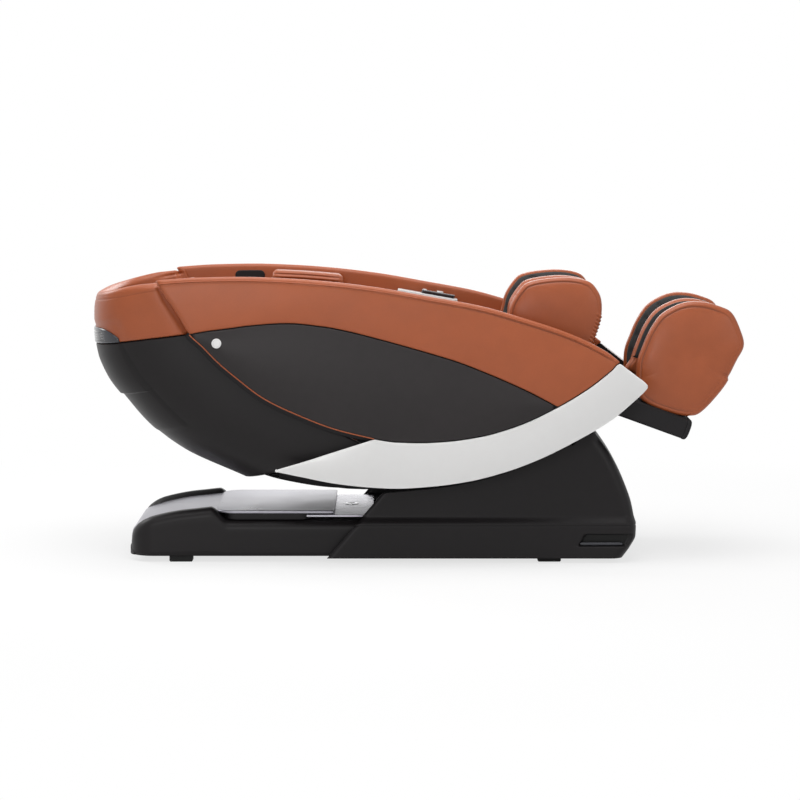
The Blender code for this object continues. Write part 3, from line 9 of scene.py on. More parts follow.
import bpy
import numpy as np
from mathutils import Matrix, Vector


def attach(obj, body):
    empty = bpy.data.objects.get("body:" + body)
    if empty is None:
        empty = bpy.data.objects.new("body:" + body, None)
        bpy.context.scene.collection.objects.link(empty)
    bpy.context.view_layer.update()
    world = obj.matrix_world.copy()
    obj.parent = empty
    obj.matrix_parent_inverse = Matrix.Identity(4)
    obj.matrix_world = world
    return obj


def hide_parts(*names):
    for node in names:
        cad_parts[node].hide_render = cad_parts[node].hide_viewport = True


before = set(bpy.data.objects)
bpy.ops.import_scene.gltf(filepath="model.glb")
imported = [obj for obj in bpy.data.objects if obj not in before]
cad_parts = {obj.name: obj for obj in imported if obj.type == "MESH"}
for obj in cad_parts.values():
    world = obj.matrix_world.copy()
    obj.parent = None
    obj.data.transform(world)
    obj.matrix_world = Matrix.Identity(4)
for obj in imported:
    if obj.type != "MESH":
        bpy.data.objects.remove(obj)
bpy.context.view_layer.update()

Array = np.ndarray
Grids = tuple[Array, Array, Array]
Span = tuple[float, float]
Triple = tuple[float, float, float]
Pairs = Sequence[Span]
Piece = bpy.types.Object
Socket = bpy.types.NodeSocket
log = logging.getLogger("massage_chair")

FIT = 0.0003
PANEL_GAP = 0.0015
SIDES = {"left": 1.0, "right": -1.0}
QUARTER = math.pi / 2
MIRROR = (1, -1, 1)
UPWARDS, DOWNWARDS, REARWARDS = (0, 0, 1), (0, 0, -1), (-1, 0, 0)
CLOTH = {"quality": 5, "mass": 0.25, "tension_stiffness": 22.0, "compression_stiffness": 14.0,
         "shear_stiffness": 9.0, "bending_stiffness": 0.6, "use_pressure": True}
CLOTH_STEPS = 16


class Body(str, Enum):
    """The moving bodies that new pieces ride on."""

    BASE = "base"
    CARRIAGE = "carriage"
    POD = "pod"
    HAND = "hand_control"
    KEY = "control_key"
    BACK = "backrest"
    LEG = "legrest"
    FOOT = "foot_unit"


class Slot(str, Enum):
    """The record's finish slots."""

    LEATHER = "tan_leather"
    LINING = "black_lining"
    GLOSS = "gloss_black"
    SATIN = "satin_black"
    GREY = "gloss_grey"
    DARK = "dark_plastic"
    SILVER = "silver_paint"
    PLATE = "silver_plate"
    STEEL = "frame_steel"
    RUBBER = "black_rubber"
    CAP = "white_cap"


class Line:
    """A curve through points that never overshoots: a cubic per span with harmonic-mean slopes."""

    def __init__(self, points: Pairs) -> None:
        """Works out the slope at each point.

        Args:
            points: Places and heights, with the places in rising order.
        """
        self.xs, self.ys = np.array(points, float).T
        rises = np.diff(self.ys) / np.diff(self.xs)
        product = rises[:-1] * rises[1:]
        total = np.where(product > 0, rises[:-1] + rises[1:], 1.0)
        inner = np.where(product > 0, 2 * product / total, 0.0)
        self.slopes = np.concatenate([rises[:1], inner, rises[-1:]])

    def __call__(self, x: Array | float) -> Array:
        """Reads the curve.

        Args:
            x: Places.

        Returns:
            The height at each of them.
        """
        x = np.asarray(x, float)
        i = np.clip(np.searchsorted(self.xs, x) - 1, 0, len(self.xs) - 2)
        step = self.xs[i + 1] - self.xs[i]
        t = (x - self.xs[i]) / step
        near = self.ys[i] * (1 + 2 * t) * (1 - t) ** 2 + self.ys[i + 1] * t * t * (3 - 2 * t)
        return near + step * (self.slopes[i] * t * (1 - t) ** 2 - self.slopes[i + 1] * t * t * (1 - t))


def ease(value: Array, low: Array | float, high: Array | float) -> Array:
    """A soft step from 0 at low to 1 at high: 3t^2 - 2t^3."""
    t = np.clip((np.asarray(value, float) - low) / (high - low), 0.0, 1.0)
    return t * t * (3 - 2 * t)


def bell(value: Array, middle: float, width: float) -> Array:
    """A smooth hump of height 1 about the middle: exp(-t^2)."""
    return np.exp(-(((np.asarray(value, float) - middle) / width) ** 2))


def rolled(distance: Array, radius: Array | float) -> Array:
    """How far a quarter-round edge falls back at a distance from the edge: r - sqrt(r^2 - (r - d)^2)."""
    left = np.clip(radius - distance, 0.0, radius)
    return radius - np.sqrt(np.maximum(radius ** 2 - left ** 2, 0.0))


def points_of(x: Array | float, y: Array | float, z: Array | float) -> Array:
    """Points from three grids of places, spread to one shape."""
    return np.stack(np.broadcast_arrays(x, y, z), axis=-1)


def unit(vectors: Array) -> Array:
    """The vectors at length 1."""
    return vectors / np.maximum(np.linalg.norm(vectors, axis=-1, keepdims=True), 1e-12)


def run_along(path: Array) -> Array:
    """The distance run at each point of a polyline."""
    return np.concatenate([[0.0], np.cumsum(np.linalg.norm(np.diff(path, axis=0), axis=1))])


def circle(count: int) -> Array:
    """Even angles once round, without a repeat of the first."""
    return np.linspace(0, 2 * math.pi, count + 1)[:-1]


def twinned(half: Array, flip: Triple | float = 1.0) -> Array:
    """A grid and its mirror image beside it, joined at their shared last column; a factor flips points."""
    return np.concatenate([half, (half * flip)[:, ::-1][:, 1:]], axis=1)


def even_steps(points: Array, count: int, closed: bool = False) -> Array:
    """Points at even distances on a polyline.

    Args:
        points: The polyline's corners, one per row.
        count: How many points to give back.
        closed: Whether the polyline returns to its first point.

    Returns:
        The new points, without a repeat of the first one when closed.
    """
    path = np.vstack([points, points[:1]]) if closed else points
    run = run_along(path)
    at = np.linspace(0.0, run[-1], count, endpoint=not closed)
    return np.stack([np.interp(at, run, column) for column in path.T], axis=1)


def spline(a: Array, b: Array, c: Array, d: Array, steps: int) -> Array:
    """Catmull-Rom spans from each b to its c, with the slopes (c - a) / 2 and (d - b) / 2.

    Args:
        a: The point before each span.
        b: Each span's start.
        c: Each span's end.
        d: The point after each span.
        steps: Points per span.

    Returns:
        The points of all spans in a row.
    """
    t = (np.arange(steps) / steps)[None, :, None]
    a, b, c, d = (v[:, None, :] for v in (a, b, c, d))
    bent = 2 * b + (c - a) * t + (2 * a - 5 * b + 4 * c - d) * t ** 2 + (3 * b - a - 3 * c + d) * t ** 3
    return (0.5 * bent).reshape(-1, 2)


def closed_curve(points: Pairs, count: int) -> Array:
    """Even points on a smooth closed curve through the given ones."""
    b = np.array(points, float)
    return even_steps(spline(np.roll(b, 1, 0), b, np.roll(b, -1, 0), np.roll(b, -2, 0), 24), count, closed=True)


def open_curve(points: Pairs, count: int) -> Array:
    """Even points on a smooth open curve through the given ones, whose ends run straight on.

    Args:
        points: The points to pass through.
        count: How many points to give back.

    Returns:
        The points, one per row.
    """
    p = np.array(points, float)
    p = np.vstack([2 * p[0] - p[1], p, 2 * p[-1] - p[-2]])
    dense = spline(*(p[k:len(p) - 3 + k] for k in range(4)), 20)
    return even_steps(np.vstack([dense, p[-2:-1]]), count)


def round_rect(x0: float, x1: float, half: float, radius: float, count: int) -> Array:
    """An outline of a rectangle about y = 0 with quarter-circle corners.

    Args:
        x0: Its start.
        x1: Its end.
        half: Its half width.
        radius: The radius of its corners.
        count: How many points to give back.

    Returns:
        The outline at even steps, one point per row.
    """
    turn = np.linspace(0, QUARTER, 10)
    corner = radius * np.stack([1 - np.cos(turn), 1 - np.sin(turn)], axis=1)
    first = np.stack([x0 + corner[:, 0], half - corner[:, 1]], axis=1)
    second = np.stack([x1 - corner[::-1, 0], half - corner[::-1, 1]], axis=1)
    upper = np.vstack([first, second])
    return even_steps(np.vstack([upper, upper[::-1] * (1, -1)]), count, closed=True)


def rings(outline: Array, shares: Array) -> tuple[Array, Array]:
    """Rings of an outline, drawn in towards its mean point by a share per ring.

    Args:
        outline: The outline's points.
        shares: One share per ring, as a column.

    Returns:
        Two grids: the places along the outline's two axes.
    """
    middle = outline.mean(axis=0)
    plan = middle + (outline - middle) * shares[..., None]
    return plan[..., 0], plan[..., 1]


def slab_grid(outline: Array, low: float, high: float, edge: float, fill: int = 8) -> Grids:
    """A flat plate with quarter-round edges, as rings from its underside's middle to its top's middle.

    Args:
        outline: Its plan.
        low: Its underside.
        high: Its top.
        edge: The radius of its edges.
        fill: Rings on each flat face.

    Returns:
        Three grids: the two plan places and the height.
    """
    middle = (outline.max(axis=0) + outline.min(axis=0)) / 2
    halves = (outline.max(axis=0) - outline.min(axis=0)) / 2
    bend = np.linspace(0, QUARTER, 6)
    drop = edge * (1 - np.cos(bend))
    side = 1 - edge * (1 - np.sin(bend))[:, None] / halves
    flat = np.linspace(0.05, 0.97, fill)[:, None] * side[0]
    plan = middle + (outline - middle) * np.concatenate([flat, side, side[::-1], flat[::-1]])[:, None, :]
    level = np.concatenate([np.full(fill, low), low + drop, high - drop[::-1], np.full(fill, high)])[:, None]
    return plan[..., 0], plan[..., 1], np.broadcast_to(level, plan.shape[:2])


@dataclass(frozen=True)
class Tilt:
    """A frame that starts at a point of the x-z plane and runs at a slope."""

    start: Span
    slope: float

    def __call__(self, a: Array, y: Array, n: Array) -> Array:
        """Points from places along, across and outwards: a turn by the slope, then a shift."""
        cos, sin = math.cos(self.slope), math.sin(self.slope)
        return points_of(self.start[0] + a * cos - n * sin, y, self.start[1] + a * sin + n * cos)


def normals_of(points: Array) -> Array:
    """Unit normals of a grid: the cross product of its two directions."""
    return unit(np.cross(np.gradient(points, axis=0), np.gradient(points, axis=1)))


def metre_map(points: Array, wrap: bool) -> Array:
    """A flat map of a grid in metres: mean running lengths across and along it.

    Args:
        points: The grid.
        wrap: Whether its last column joins its first.

    Returns:
        Two values per point, with one more column when it wraps.
    """
    ring = np.concatenate([points, points[:, :1]], axis=1) if wrap else points
    across = np.linalg.norm(np.diff(ring, axis=1), axis=-1).mean(axis=0)
    along = np.linalg.norm(np.diff(points, axis=0), axis=-1).mean(axis=1)
    u = np.concatenate([[0.0], np.cumsum(across)])
    v = np.concatenate([[0.0], np.cumsum(along)])
    return np.stack(np.meshgrid(u, v), axis=-1)


def volume_of(places: Array, faces: Sequence[Array]) -> float:
    """Six times the volume in closed faces: the sum of p0 . (p1 x p2 + p2 x p3 ...) over them.

    Args:
        places: The points.
        faces: Arrays of point numbers, each of faces with one count of corners.

    Returns:
        The sum, below zero where the faces look inwards.
    """
    total = 0.0
    for part in faces:
        corners = [places[part[:, k]] for k in range(part.shape[1])]
        turn = sum(np.cross(p, q) for p, q in zip(corners[1:], corners[2:]))
        total += np.einsum("ij,ij->i", corners[0], turn).sum()
    return total


def grid_piece(name: str, points: Array, *, closed: bool = False, facing: Triple = UPWARDS,
               probe: Span = (0.5, 0.5), marks: dict[str, Array] | None = None,
               sew: Array | None = None) -> Piece:
    """A mesh from a grid of points.

    Args:
        name: The piece's name.
        points: Rows by columns by three, in the chair's frame.
        closed: Whether the last column joins the first, with fans over the first and the last row; such a
            piece looks outwards by its volume.
        facing: Which way an open grid's faces look at the probe.
        probe: Where on an open grid that is tested, as shares of rows and columns.
        marks: Values per point, kept as attributes for the finish.
        sew: A map of two values per point, along and across a seam in metres, in place of the metre map.

    Returns:
        The object, at the origin.
    """
    rows, cols = points.shape[:2]
    spans = cols if closed else cols - 1
    i, j = np.meshgrid(np.arange(rows - 1), np.arange(spans), indexing="ij")
    corners = [(i, j), (i, j + 1), (i + 1, j + 1), (i + 1, j)]
    faces = [np.stack([r * cols + c % cols for r, c in corners], axis=-1).reshape(-1, 4)]
    if sew is None:
        chart = metre_map(points, closed)
    else:
        chart = np.concatenate([sew, sew[:, :1]], axis=1) if closed else sew
    charts = [np.stack([chart[r, c] for r, c in corners], axis=2).reshape(-1, 4, 2)]
    places = points.reshape(-1, 3)
    values = {key: np.broadcast_to(v, (rows, cols)).reshape(-1) for key, v in (marks or {}).items()}
    if closed:
        ring = np.arange(cols)
        for row, order in ((0, -1), (rows - 1, 1)):
            edge = [row * cols + ring, row * cols + (ring + 1) % cols][::order]
            rim = [chart[row, :cols], chart[row, 1:cols + 1]][::order]
            faces.append(np.stack([*edge, np.full(cols, len(places))], axis=-1))
            charts.append(np.stack([*rim, np.broadcast_to(chart[row].mean(axis=0), (cols, 2))], axis=1))
            places = np.vstack([places, points[row].mean(axis=0)])
            values = {key: np.append(v, v[row * cols:(row + 1) * cols].mean()) for key, v in values.items()}
        flip = volume_of(places, faces) < 0
    else:
        cell = faces[0].reshape(rows - 1, spans, 4)[int(probe[0] * (rows - 2)), int(probe[1] * (spans - 1))]
        a, b, c, d = places[cell]
        flip = float(np.dot(np.cross(c - a, d - b), facing)) < 0
    step = -1 if flip else 1
    mesh = bpy.data.meshes.new(name)
    mesh.from_pydata(places.tolist(), [], [face for part in faces for face in part[:, ::step].tolist()])
    flat = np.concatenate([part[:, ::step].reshape(-1, 2) for part in charts])
    mesh.uv_layers.new(name="sew").data.foreach_set("uv", flat.astype(np.float32).ravel())
    mesh.polygons.foreach_set("use_smooth", np.ones(len(mesh.polygons), bool))
    for key, v in values.items():
        mesh.attributes.new(key, "FLOAT", "POINT").data.foreach_set("value", v.astype(np.float32))
    mesh.update()
    piece = bpy.data.objects.new(name, mesh)
    bpy.context.scene.collection.objects.link(piece)
    return piece


def give_wall(piece: Piece, wall: float) -> Piece:
    """Gives an open sheet a wall behind its face.

    Args:
        piece: The sheet.
        wall: The wall's thickness.

    Returns:
        The same piece.
    """
    shell = piece.modifiers.new("wall", "SOLIDIFY")
    shell.thickness, shell.offset = wall, -1.0
    shell.use_quality_normals = True
    return piece


def refine(piece: Piece) -> Piece:
    """Adds one subdivision."""
    finer = piece.modifiers.new("finer", "SUBSURF")
    finer.levels = finer.render_levels = 1
    return piece


def settle(piece: Piece, body: Body, finish: "Finish", *nodes: str, fill: float | None = None) -> None:
    """Gives a finished piece its material, its body and the CAD nodes that it stands for.

    Args:
        piece: The piece, in its place.
        body: The body that carries it.
        finish: The finish to wear.
        nodes: CAD nodes that are hidden by it.
        fill: How full a padded piece is stuffed; None for a hard one. Not used.
    """
    piece.data.materials.append(finish.material())
    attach(piece, body.value)
    if nodes:
        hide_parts(*nodes)
    log.info("%s rides on %s, stands for %s", piece.name, body.value, ", ".join(nodes) or "nothing")


def swell(piece: Piece, held: Array, pressure: float, cap: float,
          poles: tuple[bool, bool] = (True, True)) -> None:
    """Puffs a sewn pad up with Blender's cloth and keeps the result: a move d becomes c tanh(d / c).

    Args:
        piece: A closed pad.
        held: Per grid point, true where it is sewn down or rests on something.
        pressure: The stuffing's push.
        cap: The furthest that a point may move.
        poles: Whether the middles of the first and the last row are held.
    """
    scene = bpy.context.scene
    trial = bpy.data.objects.new("trial", piece.data.copy())
    scene.collection.objects.link(trial)
    pins = trial.vertex_groups.new(name="held")
    pins.add(np.flatnonzero(np.append(held.ravel(), poles)).tolist(), 1.0, "REPLACE")
    modifier = trial.modifiers.new("cloth", "CLOTH")
    for key, value in CLOTH.items():
        setattr(modifier.settings, key, value)
    modifier.settings.uniform_pressure_force = pressure
    modifier.settings.vertex_group_mass = pins.name
    modifier.settings.effector_weights.gravity = 0.0
    modifier.collision_settings.use_collision = False
    for step in range(1, CLOTH_STEPS + 1):
        scene.frame_set(step)
    count = len(piece.data.vertices)
    before, after = np.empty(count * 3), np.empty(count * 3)
    piece.data.vertices.foreach_get("co", before)
    shown = trial.evaluated_get(bpy.context.evaluated_depsgraph_get())
    shown.data.vertices.foreach_get("co", after)
    move = (after - before).reshape(-1, 3)
    far = np.linalg.norm(move, axis=1, keepdims=True)
    move *= cap * np.tanh(far / cap) / np.maximum(far, 1e-9)
    piece.data.vertices.foreach_set("co", before + move.ravel())
    piece.data.update()
    stale = trial.data
    bpy.data.objects.remove(trial)
    bpy.data.meshes.remove(stale)
    scene.frame_set(1)
    log.info("%s puffed up by %.1f mm at most", piece.name, 1000 * np.linalg.norm(move, axis=1).max())


@dataclass(frozen=True)
class PadForm:
    """A stuffed block's plain form: superellipse sections on stations, with rounded ends closed by poles."""

    length: float
    half_width: float
    half_thick: float
    end_round: float
    power: float = 4.5
    stations: int = 44
    around: int = 72

    def grid(self) -> Grids:
        """The form as three grids.

        Returns:
            Places along (from the middle), across and outwards: |y/w|^p + |n/t|^p = 1 on each section,
            drawn in over the end rounds by a quarter circle.
        """
        turn = np.linspace(-QUARTER, 3 * QUARTER, 2881)[:-1]
        half = np.array([self.half_width, self.half_thick])
        wave = np.stack([np.cos(turn), np.sin(turn)], axis=1)
        ring = even_steps(half * np.sign(wave) * np.abs(wave) ** (2 / self.power), self.around, closed=True)
        bend = np.linspace(0, QUARTER, 7)
        flat = np.array([0.2, 0.45, 0.7, 0.9])
        end = self.length / 2
        rise = self.end_round * (1 - np.cos(bend))
        body = np.linspace(-end + self.end_round, end - self.end_round, self.stations)[1:-1]
        along = np.concatenate([np.full(4, -end), -end + rise, body, end - rise[::-1], np.full(4, end)])
        bent = 1 - self.end_round * (1 - np.sin(bend))[:, None] / half
        face = flat[:, None] * bent[0]
        drawn = np.concatenate([face, bent, np.ones((len(body), 2)), bent[::-1], face[::-1]])
        a = np.broadcast_to(along[:, None], (len(along), self.around))
        return a, drawn[:, :1] * ring[:, 0], drawn[:, 1:] * ring[:, 1]


class Wiring:
    """Lays and joins the nodes of one tree."""

    def __init__(self, tree: bpy.types.NodeTree) -> None:
        """Keeps the tree."""
        self.tree = tree

    def feed(self, node: bpy.types.Node, inputs: dict) -> None:
        """Fills a node's inputs.

        Args:
            node: The node.
            inputs: Socket names or numbers, each with a value or another node's socket.
        """
        for key, value in inputs.items():
            if isinstance(value, Socket):
                self.tree.links.new(value, node.inputs[key])
            else:
                node.inputs[key].default_value = value

    def node(self, kind: str, inputs: dict | None = None, **settings: object) -> bpy.types.Node:
        """A new node.

        Args:
            kind: Blender's name of the node type.
            inputs: Socket names or numbers, each with a value or another node's socket.
            settings: The node's own options.

        Returns:
            The node.
        """
        made = self.tree.nodes.new(kind)
        for key, value in settings.items():
            setattr(made, key, value)
        self.feed(made, inputs or {})
        return made

    def math(self, operation: str, *values: object) -> Socket:
        """One sum on the values."""
        return self.node("ShaderNodeMath", dict(enumerate(values)), operation=operation).outputs[0]

    def span(self, value: Socket, low: float, high: float, first: float = 0.0, last: float = 1.0) -> Socket:
        """A value carried from one span to another, and held at its ends."""
        return self.node("ShaderNodeMapRange", {0: value, 1: low, 2: high, 3: first, 4: last}).outputs[0]

    def tint(self, share: Socket, a: object, b: object) -> Socket:
        """A colour between two."""
        return self.node("ShaderNodeMix", {0: share, 6: a, 7: b}, data_type="RGBA").outputs[2]

    def noise(self, place: Socket, scale: float, detail: float = 3.0) -> Socket:
        """Cloudy values about a half."""
        return self.node("ShaderNodeTexNoise", {"Vector": place, "Scale": scale, "Detail": detail}).outputs[0]

    def clouds(self, place: Socket, slow: float, quick: float, share: float) -> Socket:
        """Two sizes of cloud added up, the slow one by a share."""
        return self.math("ADD", self.math("MULTIPLY", self.noise(place, slow), share),
                         self.math("MULTIPLY", self.noise(place, quick), 1 - share))

    def mark(self, name: str, share: float = 1.0) -> Socket:
        """A value kept on the mesh's points, times a share."""
        kept = self.node("ShaderNodeAttribute", attribute_name=name)
        return self.math("MULTIPLY", kept.outputs["Fac"], share)

    def place(self) -> Socket:
        """The piece's own coordinates, in metres."""
        return self.node("ShaderNodeTexCoord").outputs["Object"]


@dataclass(frozen=True)
class Effect:
    """A node group that several finishes share, built once."""

    name: str
    inputs: tuple[str, ...]
    outputs: tuple[str, ...]
    lay: Callable[[Wiring, dict], dict]

    def tree(self) -> bpy.types.NodeTree:
        """The group with its named sockets: an input called Place is a vector, and the rest are values.

        Returns:
            The group's tree.
        """
        found = bpy.data.node_groups.get(self.name)
        if found is None:
            found = bpy.data.node_groups.new(self.name, "ShaderNodeTree")
            for key in self.inputs:
                kind = "NodeSocketVector" if key == "Place" else "NodeSocketFloat"
                found.interface.new_socket(name=key, in_out="INPUT", socket_type=kind)
            for key in self.outputs:
                found.interface.new_socket(name=key, in_out="OUTPUT", socket_type="NodeSocketFloat")
            wires = Wiring(found)
            start = wires.node("NodeGroupInput")
            wires.node("NodeGroupOutput", self.lay(wires, {key: start.outputs[key] for key in self.inputs}))
        return found

    def use(self, w: Wiring, **inputs: object) -> bpy.types.bpy_prop_collection:
        """The outputs of a new node of this group."""
        return w.node("ShaderNodeGroup", inputs, node_tree=self.tree()).outputs


def lay_grain(w: Wiring, given: dict) -> dict:
    """Pebbles between fine creases (cells bent by noise), pores, and slow tone clouds.

    Args:
        w: The group's wiring.
        given: The group's input sockets by name.

    Returns:
        The group's outputs by name.
    """
    place = given["Place"]
    bend = w.node("ShaderNodeTexNoise", {"Vector": place, "Scale": 160.0, "Detail": 2.0})
    moved = w.node("ShaderNodeVectorMath", {0: bend.outputs[1], 3: 0.0016}, operation="SCALE")
    bent = w.node("ShaderNodeVectorMath", {0: place, 1: moved.outputs[0]}, operation="ADD")
    cells = w.node("ShaderNodeTexVoronoi", {"Vector": bent.outputs[0], "Scale": given["Pebbles"]},
                   feature="DISTANCE_TO_EDGE")
    valley = w.span(cells.outputs[0], 0.0, 0.16)
    height = w.math("MULTIPLY_ADD", valley, 0.8, w.noise(place, 2400.0, 2.0))
    return {"Height": height, "Valley": valley, "Tone": w.clouds(place, 3.5, 26.0, 0.65)}


def lay_stitches(w: Wiring, given: dict) -> dict:
    """A row of thread: dashes of a pitch along the seam, each a small hump across it.

    Args:
        w: The group's wiring.
        given: The group's input sockets by name.

    Returns:
        The group's outputs by name.
    """
    beat = w.math("FRACT", w.math("DIVIDE", given["Along"], 0.0052))
    dash = w.span(w.math("ABSOLUTE", w.math("SUBTRACT", beat, 0.5)), 0.40, 0.30)
    row = w.span(w.math("ABSOLUTE", given["Across"]), 0.0009, 0.0004)
    return {"Thread": w.math("MULTIPLY", dash, row)}


def lay_mould(w: Wiring, given: dict) -> dict:
    """The fine spark texture of a mould, and slow handling marks."""
    return {"Height": w.noise(given["Place"], 1500.0, 2.0), "Tone": w.clouds(given["Place"], 2.6, 40.0, 0.7)}


def lay_knit(w: Wiring, given: dict) -> dict:
    """A close knit: two crossed waves under slow tone clouds.

    Args:
        w: The group's wiring.
        given: The group's input sockets by name.

    Returns:
        The group's outputs by name.
    """
    x, y, z = w.node("ShaderNodeSeparateXYZ", {0: given["Place"]}).outputs
    one, two = (w.math("SINE", w.math("MULTIPLY", slant, 3400.0))
                for slant in (w.math("ADD", x, z), w.math("SUBTRACT", y, z)))
    return {"Height": w.span(w.math("MULTIPLY", one, two), -1.0, 1.0), "Tone": w.noise(given["Place"], 9.0)}


def lay_brushing(w: Wiring, given: dict) -> dict:
    """Long fine streaks along x, and slow smears."""
    long = w.node("ShaderNodeMapping", {0: given["Place"], 3: (6.0, 900.0, 900.0)})
    return {"Height": w.noise(long.outputs[0], 1.0, 4.0), "Tone": w.noise(given["Place"], 7.0)}


GRAIN = Effect("leather grain", ("Place", "Pebbles"), ("Height", "Valley", "Tone"), lay_grain)
STITCHES = Effect("stitches", ("Along", "Across"), ("Thread",), lay_stitches)
MOULD = Effect("mould texture", ("Place",), ("Height", "Tone"), lay_mould)
KNIT = Effect("knit", ("Place",), ("Height", "Tone"), lay_knit)
BRUSHING = Effect("brushing", ("Place",), ("Height", "Tone"), lay_brushing)


@dataclass(frozen=True)
class Finish:
    """A finish with a slot, a colour, a gloss and an own texture."""

    name: str
    slot: Slot
    colour: Triple
    roughness: float

    def material(self) -> bpy.types.Material:
        """The finish's material, built at its first use.

        Returns:
            The material.
        """
        found = bpy.data.materials.get(self.name)
        if found is None:
            found = bpy.data.materials.new(self.name)
            found.use_nodes = True
            found.node_tree.nodes.clear()
            wires = Wiring(found.node_tree)
            shader = wires.node("ShaderNodeBsdfPrincipled")
            wires.node("ShaderNodeOutputMaterial", {0: shader.outputs[0]})
            wires.feed(shader, self.lay(wires))
        return found

    def lay(self, w: Wiring) -> dict:
        """Lays the finish's own nodes, and gives what the shader's inputs get."""
        raise NotImplementedError

    def shade(self, share: float) -> tuple[float, float, float, float]:
        """The colour made darker or lighter."""
        return (*(min(1.0, c * share) for c in self.colour), 1.0)

    def clouded(self, w: Wiring, tone: Socket, dark: float, light: float) -> Socket:
        """The colour between two shades by a cloudy tone."""
        return w.tint(w.span(tone, 0.3, 0.7), self.shade(dark), self.shade(light))

    def gloss(self, w: Wiring, tone: Socket, less: float, more: float) -> Socket:
        """The roughness, changed a little by a cloudy tone."""
        return w.span(tone, 0.3, 0.7, self.roughness - less, self.roughness + more)

    @staticmethod
    def bump(w: Wiring, height: Socket, depth: float, strength: float) -> Socket:
        """A normal bent by a height."""
        return w.node("ShaderNodeBump", {"Height": height, "Distance": depth, "Strength": strength}).outputs[0]


@dataclass(frozen=True)
class Leather(Finish):
    """Soft coated leather with pebble grain, seams darkened by painted shade, rolled edges lightened by painted
    highlights, and a row of thread beside them.
    """

    pebbles: float = 620.0
    shine: float = 0.30
    thread: Triple = (0.30, 0.085, 0.035)

    def lay(self, w: Wiring) -> dict:
        """Tone clouds and creases colour it, seam marks paint shade, edge marks paint highlights, and thread lies
        on top.

        Args:
            w: The material's wiring.

        Returns:
            What the shader's inputs get.
        """
        grain = GRAIN.use(w, Place=w.place(), Pebbles=self.pebbles)
        flat = w.node("ShaderNodeSeparateXYZ", {0: w.node("ShaderNodeUVMap", uv_map="sew").outputs[0]}).outputs
        sewn = STITCHES.use(w, Along=flat[0], Across=flat[1])
        row = w.math("MULTIPLY", sewn["Thread"], w.mark("thread"))
        creases = w.span(grain["Valley"], 0.0, 1.0, 0.22, 0.0)
        creased = w.tint(creases, self.clouded(w, grain["Tone"], 0.90, 1.09), self.shade(0.45))
        # painted shade: seam marks darken the sewn grooves and welts
        seam_shaded = w.tint(w.mark("seam", 0.75), creased, self.shade(0.20))
        # painted highlight: edge marks lighten the rolled edges
        painted_highlight = w.tint(w.mark("edge", 0.25), seam_shaded, self.shade(1.30))
        raised = w.math("MULTIPLY_ADD", row, 1.5, grain["Height"])
        return {"Base Color": w.tint(row, painted_highlight, (*self.thread, 1.0)),
                "Roughness": self.gloss(w, grain["Tone"], 0.04, 0.05), "Specular IOR Level": self.shine,
                "Coat Weight": 0.08, "Coat Roughness": 0.28, "Normal": self.bump(w, raised, 0.00045, 0.22)}


@dataclass(frozen=True)
class Moulded(Finish):
    """A moulded shell with mould texture, slow tone changes, painted highlights on its edges and painted shade in
    sunk places.
    """

    texture: float = 0.10
    coat: float = 0.0
    shine: float = 0.18
    clouds: float = 0.10
    # sunk: the grey of the painted shade in sunk places
    sunk: float = 0.006

    def lay(self, w: Wiring) -> dict:
        """Tone clouds colour it, edge marks paint highlights on it and seam marks paint shade into it.

        Args:
            w: The material's wiring.

        Returns:
            What the shader's inputs get.
        """
        mould = MOULD.use(w, Place=w.place())
        tone = self.clouded(w, mould["Tone"], 1 - self.clouds, 1 + self.clouds)
        # painted highlight: edge marks lighten the edges
        painted_highlight = w.tint(w.mark("edge", 0.30), tone, self.shade(1.9))
        # painted shade: seam marks darken slots, grooves and recesses
        return {"Base Color": w.tint(w.mark("seam"), painted_highlight, (self.sunk, self.sunk, self.sunk, 1.0)),
                "Roughness": self.gloss(w, mould["Tone"], 0.03, 0.05), "Specular IOR Level": self.shine,
                "Coat Weight": self.coat, "Coat Roughness": 0.08,
                "Normal": self.bump(w, mould["Height"], 0.00025, self.texture)}


@dataclass(frozen=True)
class Lining(Finish):
    """Black knitted lining."""

    def lay(self, w: Wiring) -> dict:
        """Loops and clouds colour it, seam marks paint shade into it, and the loops stand up.

        Args:
            w: The material's wiring.

        Returns:
            What the shader's inputs get.
        """
        knit = KNIT.use(w, Place=w.place())
        tone = self.clouded(w, knit["Tone"], 0.75, 1.35)
        loops = w.tint(w.span(knit["Height"], 0.0, 1.0, 0.35, 0.0), tone, self.shade(0.4))
        # painted shade: seam marks darken the sewn bars
        return {"Base Color": w.tint(w.mark("seam", 0.8), loops, self.shade(0.3)), "Sheen Weight": 0.15,
                "Roughness": self.gloss(w, knit["Tone"], 0.05, 0.05),
                "Normal": self.bump(w, knit["Height"], 0.0004, 0.35)}


@dataclass(frozen=True)
class Brushed(Finish):
    """Metal or metal paint with streaks."""

    metallic: float = 0.0
    streaks: float = 0.15
    clouds: float = 0.10
    grain: float = 0.12

    def lay(self, w: Wiring) -> dict:
        """Streaks and smears colour it and change its gloss, and seam marks paint shade into it.

        Args:
            w: The material's wiring.

        Returns:
            What the shader's inputs get.
        """
        brush = BRUSHING.use(w, Place=w.place())
        both = w.math("ADD", w.math("MULTIPLY", brush["Height"], self.streaks),
                      w.math("MULTIPLY", brush["Tone"], 1.0 - self.streaks))
        tone = self.clouded(w, both, 1 - self.clouds, 1 + self.clouds)
        # painted shade: seam marks darken sunk lines
        return {"Base Color": w.tint(w.mark("seam", 0.8), tone, self.shade(0.12)), "Metallic": self.metallic,
                "Roughness": self.gloss(w, both, 0.03, 0.04),
                "Normal": self.bump(w, brush["Height"], 0.0002, self.grain)}


